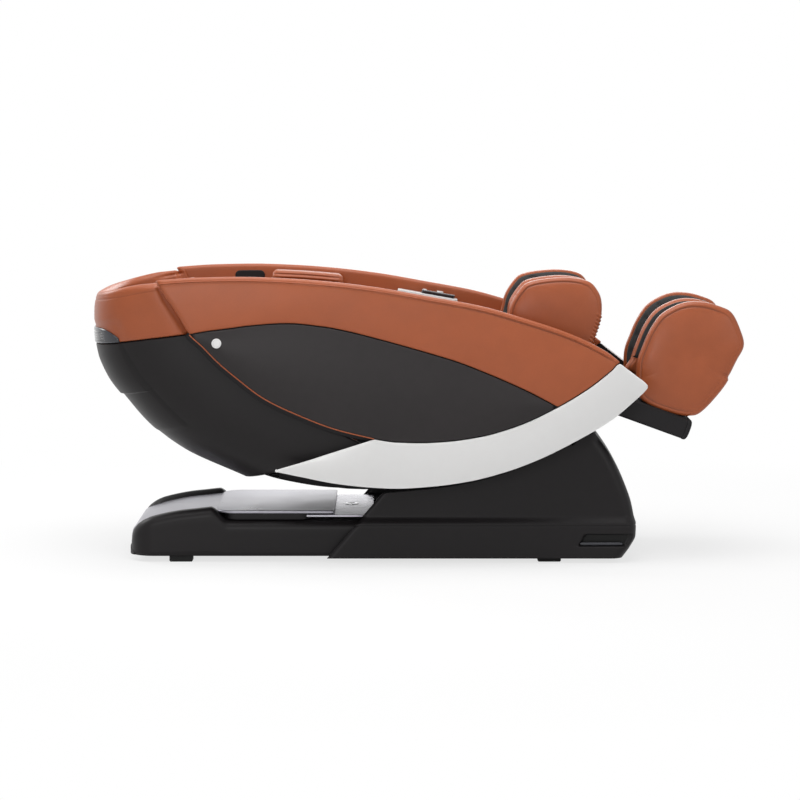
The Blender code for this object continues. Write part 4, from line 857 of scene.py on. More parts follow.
TAN = Leather("tan leather", Slot.LEATHER, (0.340, 0.081, 0.026), 0.37)
BLACK_LINING = Lining("black lining", Slot.LINING, (0.018, 0.017, 0.017), 0.72)
LENS = Moulded("lens black", Slot.GLOSS, (0.024, 0.021, 0.0215), 0.42, texture=0.05)
HULL = Moulded("hull black", Slot.SATIN, (0.012, 0.0105, 0.011), 0.42, texture=0.08)
SHROUD = Moulded("shroud black", Slot.SATIN, (0.0095, 0.0082, 0.0088), 0.40, texture=0.09)
VENT = Moulded("vent grey", Slot.GREY, (0.030, 0.031, 0.038), 0.20, texture=0.02, coat=0.4)
DARK = Moulded("dark plastic", Slot.DARK, (0.0095, 0.0085, 0.0092), 0.5, texture=0.14)
RUBBER = Moulded("rubber", Slot.RUBBER, (0.013, 0.013, 0.013), 0.72, texture=0.2)
# sunk: the grey of the painted shade in the blade's and the cap's sunk places
BLADE = Moulded("blade silver", Slot.SILVER, (0.640, 0.637, 0.632), 0.32, shine=0.4, texture=0.03, coat=0.3,
                sunk=0.2, clouds=0.025)
CAP = Moulded("cap white", Slot.CAP, (0.72, 0.715, 0.71), 0.35, texture=0.03, sunk=0.5, clouds=0.02)
SCREEN = Moulded("screen black", Slot.GLOSS, (0.012, 0.012, 0.015), 0.08, texture=0.0, coat=0.6, shine=0.5)
PLATE = Brushed("plate silver", Slot.PLATE, (0.330, 0.322, 0.362), 0.30, metallic=0.60, streaks=0.04,
                clouds=0.02, grain=0.004)
SLIDE = Brushed("slide silver", Slot.PLATE, (0.560, 0.550, 0.605), 0.26, metallic=0.5, streaks=0.5, grain=0.012)
BOLT = Brushed("bolt steel", Slot.PLATE, (0.92, 0.92, 0.94), 0.20, metallic=1.0, streaks=0.1, clouds=0.02,
               grain=0.004)
STEEL = Brushed("frame steel", Slot.STEEL, (0.110, 0.110, 0.115), 0.46, metallic=0.7, streaks=0.3)


@dataclass
class PodSide:
    """One side of the pod: leather arm band over the rim, dark lens, silver blade, cap, piping, grille."""

    side: str
    sign: float
    half: float = 0.400
    bow: float = 0.015
    bow_middle: float = -0.15
    bow_reach: float = 0.75
    roll: float = 0.0112
    hem: float = 0.004
    seam_drop: float = 0.0165
    groove_reach: float = 0.006
    groove_depth: float = 0.0022
    thread_gap: float = 0.0055
    liner_depth: float = 0.165
    puff: float = 0.0032
    ripple: float = 0.0005
    leather_wall: float = 0.0018
    panel_wall: float = 0.008
    sheet_wall: float = 0.0015
    tail: float = -0.640
    lens_front_gap: float = 0.012
    lens_edge: float = 0.0028
    lens_crown: float = 0.0110
    blade_edge: float = 0.0040
    blade_crown: float = 0.0040
    blade_tip: float = 0.020
    cap_at: Span = (-0.572, 0.653)
    cap_radius: float = 0.014
    cap_seat: float = 0.0074
    cap_ring: float = 0.74
    cap_profile: Pairs = ((0.15, 0.0042), (0.5, 0.0042), (0.68, 0.0041), (0.74, 0.0036), (0.80, 0.0041),
                          (0.90, 0.0040), (0.96, 0.0034), (1.0, 0.0022), (1.0, 0.0))
    cord_radius: float = 0.0017
    ribbon_reach: Span = (-0.006, 0.015)
    ribbon_behind: float = 0.0165
    inset: float = 0.005
    behind: float = 0.0135
    backing_ends: float = 0.030
    apron_span: Span = (-0.300, 0.430)
    apron_inner: float = 0.290
    apron_rise: float = 0.008
    grille_span: Span = (-0.562, -0.470)
    grille_drop: float = 0.020
    grille_tall: float = 0.070
    grille_corner: float = 0.014
    grille_level: Span = (0.0004, 0.0052)
    grille_edge: float = 0.0022
    hole_pitch: float = 0.004
    rim_points: Pairs = (
        (-0.745, 0.832), (-0.62, 0.840), (-0.50, 0.842), (-0.376, 0.838), (-0.254, 0.829), (-0.12, 0.813),
        (0.036, 0.786), (0.18, 0.759), (0.301, 0.725), (0.432, 0.681), (0.541, 0.628), (0.578, 0.600))
    foot_points: Pairs = (
        (-0.650, 0.677), (-0.607, 0.685), (-0.539, 0.694), (-0.470, 0.703), (-0.37, 0.709), (-0.265, 0.699),
        (-0.197, 0.686), (-0.095, 0.660), (0.008, 0.631), (0.111, 0.600), (0.213, 0.560), (0.316, 0.514),
        (0.402, 0.469))
    seam_points: Pairs = (
        (-0.745, 0.832), (-0.723, 0.790), (-0.703, 0.760), (-0.681, 0.726), (-0.664, 0.697), (-0.650, 0.677),
        (-0.616, 0.646), (-0.571, 0.600), (-0.517, 0.554), (-0.437, 0.494), (-0.335, 0.445), (-0.232, 0.406),
        (-0.123, 0.379))
    blade_top_points: Pairs = (
        (-0.407, 0.290), (-0.335, 0.311), (-0.232, 0.344), (-0.128, 0.3774), (-0.123, 0.379), (-0.118, 0.3782),
        (-0.060, 0.370), (0.008, 0.368), (0.077, 0.371), (0.180, 0.385), (0.282, 0.414), (0.385, 0.460),
        (0.487, 0.520), (0.556, 0.574), (0.578, 0.594), (0.600, 0.580), (0.632, 0.556), (0.660, 0.536))
    blade_foot_points: Pairs = (
        (-0.407, 0.284), (-0.335, 0.269), (-0.232, 0.249), (-0.129, 0.238), (-0.060, 0.235), (0.043, 0.241),
        (0.146, 0.255), (0.249, 0.281), (0.351, 0.319), (0.454, 0.370), (0.557, 0.431), (0.625, 0.488),
        (0.660, 0.520))
    blade_split: float = -0.123

    def __post_init__(self) -> None:
        """Makes the curves, and notes where the blade starts and ends and which way the side looks."""
        self.rim, self.seam = Line(self.rim_points), Line(self.seam_points)
        self.band_edge = Line(self.foot_points)
        self.blade_top, self.blade_foot = Line(self.blade_top_points), Line(self.blade_foot_points)
        self.seam_at_height = Line([(z, x) for x, z in reversed(self.seam_points)])
        self.blade_start, self.blade_end = self.blade_top_points[0][0], self.blade_top_points[-1][0]
        self.outwards = (0, self.sign, 0)

    def face(self, x: Array | float) -> Array:
        """Half width of the outer face, bowed in towards both ends."""
        return self.half - self.bow * ((x - self.bow_middle) / self.bow_reach) ** 2

    def band_foot(self, x: Array) -> Array:
        """Height of the band's lower edge."""
        return np.where(x < self.foot_points[-1][0], self.band_edge(x), self.blade_top(x)) + PANEL_GAP

    def lens_foot(self, x: Array) -> Array:
        """Height of the lens's lower edge."""
        return np.where(x < self.blade_split, self.seam(x), self.blade_top(x)) + PANEL_GAP

    def build(self) -> None:
        """Builds and dresses the side's pieces."""
        self.arm_band()
        self.lens()
        self.blade()
        self.cap()
        self.piping()
        self.ribbon()
        self.backing()
        self.apron()
        self.grille()

    def arm_band(self) -> None:
        """A leather skin carried round each station's section: hem, puffed face, rim roll and inner liner.

        A section is a run of heights above the band's foot, each with its depth behind the outer face. Each
        height's row runs from the seam at the rear to the front tip, and rolls back at the rear.
        """
        start, right = self.rim_points[0][0], self.rim_points[-1][0]
        foot_x, foot_z = self.foot_points[0]
        rear = 0.95 * self.roll * (1 - np.cos(np.linspace(0, QUARTER, 7)))
        share = np.concatenate([rear / (right - start), np.linspace(0.014, 1.0, 210)])
        middle_x = start + (right - start) * share
        height = (self.rim(middle_x) - self.band_foot(np.maximum(middle_x, foot_x)))[:, None]
        top, hem = np.minimum(self.roll, 0.42 * height), np.minimum(self.hem, 0.15 * height)
        drop, reach = np.minimum(self.seam_drop, 0.45 * height), np.minimum(self.groove_reach, 0.12 * height)
        depth, seam_up = np.minimum(self.liner_depth, 0.9 * height), height - drop
        turn, over = np.linspace(0, QUARTER, 6), np.linspace(0, math.pi, 17)[1:]
        outer_up = np.concatenate([
            hem * (1 - np.cos(turn)),
            (hem + (seam_up - reach - hem) * np.linspace(0, 1, 20))[:, 1:],
            (seam_up + reach * np.linspace(-1, 1, 11))[:, 1:],
            (seam_up + reach + (drop - reach - top) * np.linspace(0, 1, 4))[:, 1:]], axis=1)
        over_up = height - top + top * np.sin(over)
        inner_up = height - top - (depth - top) * np.linspace(0, 1, 22)[1:]
        ups = np.concatenate([outer_up, over_up, inner_up], axis=1)
        columns = outer_up.shape[1]
        backs = np.concatenate([self.hem * (1 - np.sin(turn)), np.zeros(columns - len(turn)),
                                self.roll * (1 - np.cos(over)), np.full(inner_up.shape[1], 2 * self.roll)])
        rise = np.clip(ups / height, 0, 1)
        left = self.seam_at_height(foot_z + (self.rim_points[0][1] - foot_z) * rise)
        x = left + (right - left) * share[:, None]
        foot = self.band_foot(np.maximum(x, foot_x))
        z = foot + (self.rim(x) - foot) * ups / height
        fall = rolled((x - left) * 0.86, self.roll * 0.96)
        backs = backs + fall * (1 - backs / self.roll)
        outer = np.arange(ups.shape[1]) < columns
        from_seam = np.where(outer, ups - seam_up, 1.0)
        shown = 0.15 + 0.65 * ease(x, -0.10, 0.30)
        sewn = ease(height, 0.02, 0.08) * shown
        swollen = np.sin(math.pi * np.clip(ups / seam_up, 0, 1)) ** 0.7
        lift = self.puff * swollen * ease(height, 0.01, 0.09) * outer
        lift = lift - self.groove_depth * bell(from_seam, 0.0, self.groove_depth) * sewn
        ripple = self.ripple * np.sin(9 * x + 31 * z) * np.sin(23 * x - 12 * z) * outer
        z = z - 0.35 * fall * (ups > height - top - 1e-6)
        points = points_of(x, self.sign * (self.face(x) - backs + lift + ripple), z)
        sew = np.stack(np.broadcast_arrays(x[:, :1] - x[0, 0], from_seam + self.thread_gap), axis=-1)
        # Painted shade darkens the groove under the rim roll, and a painted highlight lightens the top of the
        # roll.
        marks = {"seam": bell(from_seam, 0.0, 0.0016) * sewn, "thread": outer * (height > 0.05) * shown,
                 "edge": bell(np.where(outer, 0, ups - height), 0, 0.004) * ~outer}
        band = grid_piece(f"arm_leather_{self.side}", points, facing=self.outwards, probe=(0.5, 0.2),
                          marks=marks, sew=sew)
        settle(give_wall(band, self.leather_wall), Body.POD, TAN, f"arm_band_{self.side}", fill=0.9)

    def edged_sheet(self, name: str, x: Array, low: Array, high: Array, edge: float, crown: float,
                    rows: int) -> Piece:
        """An upright bowed panel between two heights, with quarter-round edges and a face crowned by 1 - t^2.

        Args:
            name: The piece's name.
            x: Stations along the chair.
            low: Lower edge at each station.
            high: Upper edge at each station.
            edge: The edge's radius.
            crown: How far its middle stands out.
            rows: Rows on the face between the edges.

        Returns:
            The panel, with its wall.
        """
        gap = (high - low)[:, None]
        radius = np.minimum(edge, 0.3 * gap)
        bend = 1 - np.cos(np.linspace(0, QUARTER, 5))
        across = np.concatenate([radius * bend, radius + (gap - 2 * radius) * np.linspace(0, 1, rows)[1:-1],
                                 gap - radius * bend[::-1]], axis=1)
        near = np.minimum(across, gap - across)
        ends = np.minimum(x - x[0], x[-1] - x)[:, None]
        fall = np.maximum(rolled(near, radius), rolled(ends, edge))
        stand = crown * (1 - (2 * across / gap - 1) ** 2) * ease(gap, 0.0, 0.12)
        y = self.sign * (self.face(x)[:, None] - fall + stand)
        points = points_of(x[:, None], y, low[:, None] + across)
        # Painted highlight along the rounded edges.
        piece = grid_piece(name, points, facing=self.outwards, marks={"edge": bell(near, 0.0, edge)})
        return give_wall(piece, self.panel_wall)

    def lens(self) -> None:
        """The dark lens below the band."""
        x = np.linspace(self.tail, self.foot_points[-1][0] - self.lens_front_gap, 220)
        piece = self.edged_sheet(f"lens_{self.side}", x, self.lens_foot(x), self.band_foot(x) - 2 * PANEL_GAP,
                                 self.lens_edge, self.lens_crown, 34)
        settle(piece, Body.POD, LENS, f"side_panel_{self.side}")

    def blade(self) -> None:
        """The silver blade, drawn in over its tip by |t|^3 + |h|^3 = 1."""
        bend = self.blade_end - self.blade_tip
        x = np.concatenate([np.linspace(self.blade_start, bend, 210),
                            bend + self.blade_tip * np.sin(np.linspace(0, 1.5, 16))[1:]])
        top, foot = self.blade_top(x) - PANEL_GAP, self.blade_foot(x)
        middle, reach = (top + foot) / 2, (top - foot) / 2
        reach = reach * (1 - np.clip((x - bend) / (self.blade_tip + 0.0005), 0, 1) ** 3) ** (1 / 3)
        piece = self.edged_sheet(f"blade_{self.side}", x, middle - reach, middle + reach, self.blade_edge,
                                 self.blade_crown, 26)
        settle(piece, Body.POD, BLADE, f"side_blade_{self.side}")

    def cap(self) -> None:
        """A round cap, a profile turned about y: flat face, soft edge, shallow ring."""
        profile = np.array(self.cap_profile) * (self.cap_radius, 1)
        turn = circle(48)
        seat = float(self.face(self.cap_at[0])) + self.cap_seat
        points = points_of(self.cap_at[0] + profile[:, :1] * np.cos(turn), self.sign * (seat + profile[:, 1:]),
                           self.cap_at[1] + profile[:, :1] * np.sin(turn))
        # Painted shade in the shallow ring.
        ring = 0.5 * bell(profile[:, :1], self.cap_ring * self.cap_radius, 0.0006)
        piece = grid_piece(f"cap_{self.side}", points, closed=True, marks={"seam": ring})
        settle(piece, Body.POD, CAP, f"side_cap_{self.side}")

    def piping(self) -> None:
        """A thin leather cord sewn along the lens's rear edge: a circle carried along the seam curve."""
        x = np.linspace(self.foot_points[0][0], self.blade_split, 600)
        path = even_steps(np.stack([x, self.seam(x) - 0.0004], axis=1), 190)
        line = unit(np.gradient(path, axis=0))
        turn = circle(12)
        off = self.cord_radius * np.cos(turn)
        out = self.face(path[:, :1]) - 0.0012 + self.cord_radius * np.sin(turn)
        points = points_of(path[:, :1] - line[:, 1:] * off, self.sign * out, path[:, 1:] + line[:, :1] * off)
        settle(grid_piece(f"piping_{self.side}", points, closed=True), Body.POD, TAN)

    def dark_sheet(self, name: str, points: Array, facing: Triple) -> None:
        """Adds a thin dark sheet that rides on the pod."""
        settle(give_wall(grid_piece(name, points, facing=facing), self.sheet_wall), Body.POD, DARK)

    def ribbon(self) -> None:
        """A dark ribbon behind the piping, square to the seam, which closes the view between lens and hull and
        stands in for the shade in that gap.
        """
        x = np.linspace(self.foot_points[0][0] - 0.004, self.blade_split + 0.004, 90)[:, None]
        slope = np.gradient(self.seam(x[:, 0]), x[:, 0])[:, None]
        down = np.linspace(*self.ribbon_reach, 6)
        across = np.sqrt(1 + slope ** 2)
        out = self.face(x) - self.ribbon_behind - 0.1 * np.maximum(down, 0)
        points = points_of(x + slope / across * down, self.sign * out, self.seam(x) - down / across)
        # A dark sheet standing in for the shade in the gap between lens and hull.
        self.dark_sheet(f"gap_shade_ribbon_{self.side}", points, self.outwards)

    def backing(self) -> None:
        """A dark sheet behind the blade, from its foot to its top, which is what shows from inside the pod."""
        x = np.linspace(self.blade_start + self.backing_ends, self.blade_end - self.backing_ends, 120)[:, None]
        top, foot = self.blade_top(x) - self.inset, self.blade_foot(x) + self.inset
        z = foot + (top - foot) * np.linspace(0, 1, 12)
        points = points_of(x, self.sign * (self.face(x) - self.behind), z)
        self.dark_sheet(f"blade_backing_{self.side}", points, self.outwards)

    def apron(self) -> None:
        """A dark strip inside the blade's foot, which closes the pod beside its belly and the shroud."""
        x = np.linspace(*self.apron_span, 90)[:, None]
        outer = self.face(x) - self.behind
        y = self.apron_inner + (outer - self.apron_inner) * np.linspace(0, 1, 8)
        points = points_of(x, self.sign * y, self.blade_foot(x) + self.apron_rise)
        self.dark_sheet(f"side_apron_{self.side}", points, UPWARDS)

    def grille(self) -> None:
        """A dark speaker grille on the liner beside the head: a round-cornered slab whose rows of holes are dark
        spots of painted shade, with a painted highlight by its top edge.
        """
        middle = self.grille_tall / 2
        outline = round_rect(*self.grille_span, middle, self.grille_corner, 160)
        a, b, h = slab_grid(outline, *self.grille_level, self.grille_edge, 30)
        across, up = (np.sin(math.pi * place / self.hole_pitch) for place in (a, b))
        # Dark spots of painted shade where the holes would be.
        hole_shade = (across * up) ** 2 * (h > 0.005)
        y = self.sign * (self.face(a) - 2 * self.roll - h)
        points = points_of(a, y, self.rim(a) - self.grille_drop - middle + b)
        # Painted shade in the holes and a painted highlight by the top edge.
        marks = {"seam": 0.9 * ease(hole_shade, 0.35, 0.6), "edge": bell(h, 0.004, 0.001)}
        settle(grid_piece(f"grille_{self.side}", points, closed=True, marks=marks), Body.POD, DARK)


@dataclass
class BackHull:
    """The hull behind the back: a padded leather head band, a black shell with a proud panel, and a vent."""

    lap: Pairs = ((-0.722, 0.829), (-0.700, 0.788), (-0.658, 0.726), (-0.628, 0.681), (-0.592, 0.646),
                  (-0.548, 0.600), (-0.494, 0.554), (-0.414, 0.494), (-0.300, 0.430), (-0.140, 0.352))
    keel: Pairs = ((-0.940, 0.792), (-0.946, 0.737), (-0.946, 0.677), (-0.9435, 0.636), (-0.936, 0.603),
                   (-0.907, 0.542), (-0.858, 0.478), (-0.788, 0.397), (-0.690, 0.322), (-0.515, 0.242))
    heart: Triple = (-0.55, 0.0, 0.62)
    half: float = 0.3623
    power: float = 3.4
    split: float = 3.0
    split_gap: float = 0.02
    band_wall: float = 0.034
    band_top: float = 0.34
    band_puff: float = 0.0045
    flush: float = 0.011
    seam_level: float = 0.52
    shell_wall: float = 0.010
    vent_levels: Span = (1.85, 2.95)
    vent_turn: float = 8 / 13
    vent_end: float = 0.30
    vent_stand: float = 0.0056
    slot_depth: float = 0.0035
    slot_start: float = 0.16
    slot_pitch: float = 0.17
    panel_turn: float = 0.60
    panel_end: float = 5.8
    lower_end: Span = (7.15, 7.3)
    tuck: float = 0.026

    def __post_init__(self) -> None:
        """Makes the level curves, and turns at even distances round the hull."""
        self.lap_x, self.lap_z = (Line(list(enumerate(v))) for v in zip(*self.lap))
        self.keel_x, self.keel_z = (Line(list(enumerate(v))) for v in zip(*self.keel))
        dense = np.linspace(-1, 1, 4001)
        run = run_along(self.point(dense, np.full(len(dense), 4.0)))
        self.turns = np.interp(np.linspace(0, run[-1], 161), run, dense)

    def point(self, turn: Array, level: Array) -> Array:
        """Hull points: at each level a superellipse from the right lap round the keel to the left lap.

        Args:
            turn: Places round the hull, from -1 at the right lap to 1 at the left one.
            level: Places down the hull, counted in points of the lap and the keel.

        Returns:
            The points.
        """
        angle = turn * QUARTER
        share = np.maximum(np.cos(angle), 0.0) ** (2 / self.power)
        y = np.sign(angle) * np.abs(np.sin(angle)) ** (2 / self.power) * self.half
        lap_x, lap_z = self.lap_x(level), self.lap_z(level)
        x = lap_x + (self.keel_x(level) - lap_x) * share
        z = lap_z + (self.keel_z(level) - lap_z) * share
        return points_of(x, y, z)

    def outward(self, points: Array) -> Array:
        """Unit normals of a grid on the hull, turned away from the hull's heart."""
        out = normals_of(points)
        return out * np.sign(np.sum(out * (points - np.array(self.heart)), axis=-1, keepdims=True))

    def patch(self, levels: Array) -> tuple[Array, Array, Array, Array]:
        """Points and outward normals on a grid of levels and even turns.

        Args:
            levels: Levels, one per row.

        Returns:
            Points, outward normals, and the level and turn of each point.
        """
        turn, level = np.meshgrid(self.turns, levels)
        points = self.point(turn, level)
        return points, self.outward(points), level, turn

    def build(self) -> None:
        """Builds and dresses the hull's pieces."""
        self.head_band()
        self.shell()
        self.vent()

    def head_band(self) -> None:
        """A leather skin: hem, puffed face, a half-round roll over the top and the inner face."""
        radius, first, foot = self.band_wall / 2, self.band_top, self.split - self.split_gap
        levels = np.concatenate([np.linspace(foot, 0.62, 30), np.linspace(0.60, first, 9)])
        points, out, level, turn = self.patch(levels)
        lengths = np.linalg.norm(np.diff(points, axis=1), axis=-1).mean(axis=0)
        run = np.concatenate([[0.0], np.cumsum(lengths)])
        from_lap = np.minimum(run, run[-1] - run)
        fall = rolled(np.maximum(from_lap - self.tuck, 0.0), radius * 0.9)[:, None]
        flush = self.flush * bell(from_lap, self.tuck + 0.014, 0.050) * ease(from_lap, 0.0, self.tuck)
        rise = np.clip((foot - level) / (foot - first), 0, 1)
        at_vent = ease(level, self.vent_levels[0] - 0.4, self.vent_levels[0]) * (
            1 - ease(np.abs(turn), self.vent_turn, self.vent_turn + 0.10))
        puff = (self.band_puff * np.sin(math.pi * rise) ** 0.7 * (1 - turn ** 8) + flush) * (1 - at_vent)
        groove = 0.0010 * bell(level, self.seam_level, 0.045)
        hem = rolled((foot - level) * 0.048, 0.006)
        face = points + out * (puff - groove - hem)[..., None] - out * fall
        edge = points[-1] + out[-1] * flush[:, None]
        up = unit(self.point(self.turns, np.zeros_like(self.turns)) - edge)
        bend = np.linspace(0, math.pi, 17)[1:, None, None]
        over = edge + out[-1] * ((radius - fall) * np.cos(bend) - radius) \
            + up * (radius * np.sin(bend)) * (1 - 0.4 * fall / radius)
        inside, inside_out, _, _ = self.patch(np.linspace(first, foot - 0.05, 30)[1:])
        grid = np.concatenate([face, over, inside - inside_out * (2 * radius - fall)])
        below = ((0, len(grid) - len(face)), (0, 0))
        # Painted highlight over the top of the roll.
        painted_highlight = np.broadcast_to(np.sin(bend[..., 0]) ** 4, over.shape[:2])
        # Painted shade in the seam groove.
        marks = {"seam": np.pad(0.25 * bell(level, self.seam_level, 0.032), below),
                 "thread": np.pad(np.full(level.shape, 0.4), below),
                 "edge": np.pad(painted_highlight, ((len(face), len(inside)), (0, 0)))}
        across = np.pad((self.seam_level - level) * 0.05 + 0.0055, below, constant_values=1.0)
        sew = np.stack([np.broadcast_to(run, across.shape), across], axis=-1)
        piece = grid_piece("head_leather", grid, facing=REARWARDS, probe=(0.15, 0.5), marks=marks, sew=sew)
        settle(give_wall(piece, 0.002), Body.BACK, TAN, "head_band", fill=0.9)

    def shell(self) -> None:
        """The black shell, with a proud rear panel that ends in a soft step."""
        start, end = self.split + self.split_gap, self.panel_end
        spans = ((start, end - 0.2, 56), (end - 0.17, end + 0.17, 20), (end + 0.2, 9.0, 46))
        points, out, level, turn = self.patch(np.concatenate([np.linspace(*span) for span in spans]))
        inside = 1 - ease(np.abs(turn), self.panel_turn, self.panel_turn + 0.035)
        above = 1 - ease(level, end - 0.05, end + 0.05)
        proud = inside * above * (0.003 + 0.006 * ease(level, start, end))
        lower = 0.003 * inside * (1 - ease(level, *self.lower_end)) * (1 - above)
        line = bell(np.abs(turn), self.panel_turn + 0.024, 0.008) * (1 - ease(level, 7.1, 7.3))
        top_edge = rolled((level - start) * 0.06, 0.004)
        shown = points + out * (proud + lower - 0.0012 * line - top_edge)[..., None]
        # Painted highlight along the top edge, painted shade in the panel line.
        marks = {"edge": bell(level, start, 0.05) * 0.6, "seam": 0.55 * line}
        piece = grid_piece("hull_shell", shown, facing=(-1, 0, -0.3), marks=marks)
        settle(give_wall(piece, self.shell_wall), Body.BACK, HULL, "back_shell")

    def vent(self) -> None:
        """An arched grey plate over the joint, with a round border and slots sunk into it."""
        high, low = self.vent_levels
        u, v = np.meshgrid(np.linspace(-1, 1, 121), np.linspace(0, 1, 70))
        top = high + (low - self.vent_end - high) * u ** 6
        points = self.point(self.vent_turn * u, low + (top - low) * v)
        width = 0.5 * np.linalg.norm(points[:, 0] - points[:, -1], axis=-1)[:, None]
        tall = np.linalg.norm(points[0] - points[-1], axis=-1)[None, :]
        edge = np.minimum((1 - np.abs(u)) * width, np.minimum(v, 1 - v) * tall)
        rows = (v - self.slot_start) / self.slot_pitch
        bar = 1 - ease(np.abs(rows - np.floor(rows) - 0.5), 0.20, 0.30)
        slot = bar * ((rows > 0) & (rows < 4)) * (1 - ease(np.abs(u), 0.70, 0.72)) * (1 - bell(u, 0.0, 0.012))
        lift = self.vent_stand - rolled(edge, 0.005) - self.slot_depth * slot
        # Painted highlight on the round border, painted shade in the slots.
        marks = {"edge": bell(edge, 0.0, 0.003), "seam": slot}
        points = points + self.outward(points) * lift[..., None]
        piece = grid_piece("rear_vent", points, facing=REARWARDS, marks=marks)
        settle(give_wall(piece, 0.0016), Body.BACK, VENT, "back_vent")


@dataclass
class Cushion:
    """A stuffed block, puffed by cloth, with a crowned top and channels across it and along its bolsters."""

    name: str
    node: str
    body: Body
    tilt: Tilt
    size: Triple
    stations: int
    crown: float
    channels: tuple[float, ...]
    rail: float
    cap: float
    depth: float = 0.010
    line: float = 0.006
    end_round: float = 0.030
    pressure: float = 1.6

    def shaped(self, a: Array, y: Array, n: Array) -> Grids:
        """The block's own change of form: none."""
        return a, y, n

    def build(self) -> None:
        """Builds and dresses the cushion: channels are bells about lines, the crown is (1 - e^2)(1 - b^2)."""
        length, half, thick = self.size
        form = PadForm(length, half, thick / 2, self.end_round, stations=self.stations, around=112)
        a, y, n = form.grid()
        under = n < -0.6 * form.half_thick
        top = np.clip(n / form.half_thick, 0, 1) ** 2
        b, e = y / half, 2 * a / length
        gaps = a - np.array(self.channels)[:, None, None]
        gap = np.take_along_axis(gaps, np.abs(gaps).argmin(axis=0)[None], axis=0)[0]
        cross = bell(gap, 0.0, self.line) * (np.abs(y) < self.rail)
        sewn = np.maximum(cross, bell(np.abs(y), self.rail, self.line) * (np.abs(e) < 0.93))
        n = n + top * (self.crown * (1 - e ** 2) * (1 - b ** 2) - self.depth * sewn)
        a, y, n = self.shaped(a, y, n)
        # Painted shade in the sewn channels, painted highlight along the side edges.
        marks = {"seam": bell(1 - sewn, 0, 0.35) * top, "thread": (np.abs(y) < self.rail) * top,
                 "edge": bell(np.abs(b), 0.97, 0.05) * top}
        points = self.tilt(a + length / 2, y, n - form.half_thick)
        piece = grid_piece(self.name, points, closed=True, marks=marks,
                           sew=np.stack([y, gap - self.line], axis=-1))
        swell(piece, (sewn * top > 0.75) | under, self.pressure, self.cap)
        settle(refine(piece), self.body, TAN, self.node, fill=0.7)


@dataclass
class BackCushion(Cushion):
    """The back cushion, wider at the shoulders, with raised bolsters."""

    shoulder: Triple = (0.054, 0.200, 0.310)
    bolster: float = 0.020

    def shaped(self, a: Array, y: Array, n: Array) -> Grids:
        """Widens the head end by a soft step along the block, and lifts its sides.

        Args:
            a: Places along.
            y: Places across.
            n: Places outwards.

        Returns:
            The changed places.
        """
        length, half, _ = self.size
        extra, first, last = self.shoulder
        wide = 1 - ease(a + length / 2, first, last)
        rise = self.bolster * np.clip(np.abs(y / half) - 0.55, 0, 1) * (n > 0)
        return a, y * (1 + extra / half * wide), n + rise


@dataclass
class Cushions:
    """Seat, back and head cushions."""

    seat_tilt: Tilt = Tilt((-0.075, 0.335), math.radians(37.0))
    back_tilt: Tilt = Tilt((-0.742, 0.791), math.radians(-35.4))
    pillow_span: Span = (0.030, 0.220)
    pillow_half: float = 0.165
    pillow_thick: float = 0.052
    pillow_rest: float = 0.0085
    pillow_crown: float = 0.012
    pillow_seam: float = 0.007

    def build(self) -> None:
        """Builds and dresses the three cushions."""
        Cushion("seat_pad", "seat_cushion", Body.POD, self.seat_tilt, (0.405, 0.250, 0.095), 64, 0.012,
                (-0.070, 0.060), 0.185, 0.010).build()
        BackCushion("back_pad", "back_cushion", Body.BACK, self.back_tilt, (0.770, 0.246, 0.095), 96, 0.006,
                    (-0.150, -0.040, 0.080, 0.205), 0.165, 0.009).build()
        self.pillow()

    def pillow(self) -> None:
        """The head pillow: a soft block with a welt round its edge and a sewn line across its middle."""
        first, last = self.pillow_span
        length, half_thick = last - first, self.pillow_thick / 2
        form = PadForm(length, self.pillow_half, half_thick, 0.022, power=3.2, stations=40, around=96)
        a, y, n = form.grid()
        b, e = y / form.half_width, 2 * a / length
        rest = self.pillow_rest + 0.020 * np.clip(np.abs(y) / 0.300 - 0.55, 0, 1)
        top = n > 0
        welt = bell(n, 0.0, 0.0035) * (np.maximum(np.abs(b), np.abs(e)) > 0.8)
        line = bell(a, 0.0, 0.003) * top
        drawn = 1 - 0.05 * (1 - e ** 2) * np.abs(b) ** 3
        sunk = self.pillow_seam * bell(a, 0.0, 0.012) * (1 - b ** 4)
        n = n + (self.pillow_crown * (1 - e ** 2) * (1 - b ** 2) - sunk) * top
        points = self.back_tilt(a + first + length / 2, y * drawn * (1 - 0.012 * welt), n + half_thick + rest)
        # Painted shade in the welt and the sewn middle line.
        piece = grid_piece("pillow", points, closed=True, sew=np.stack([y, a - 0.005], axis=-1),
                           marks={"seam": np.maximum(welt, line), "thread": top})
        swell(piece, (n < -0.5 * half_thick) | (line > 0.6), 1.2, 0.008)
        settle(refine(piece), Body.BACK, TAN, "head_pillow", fill=0.6)


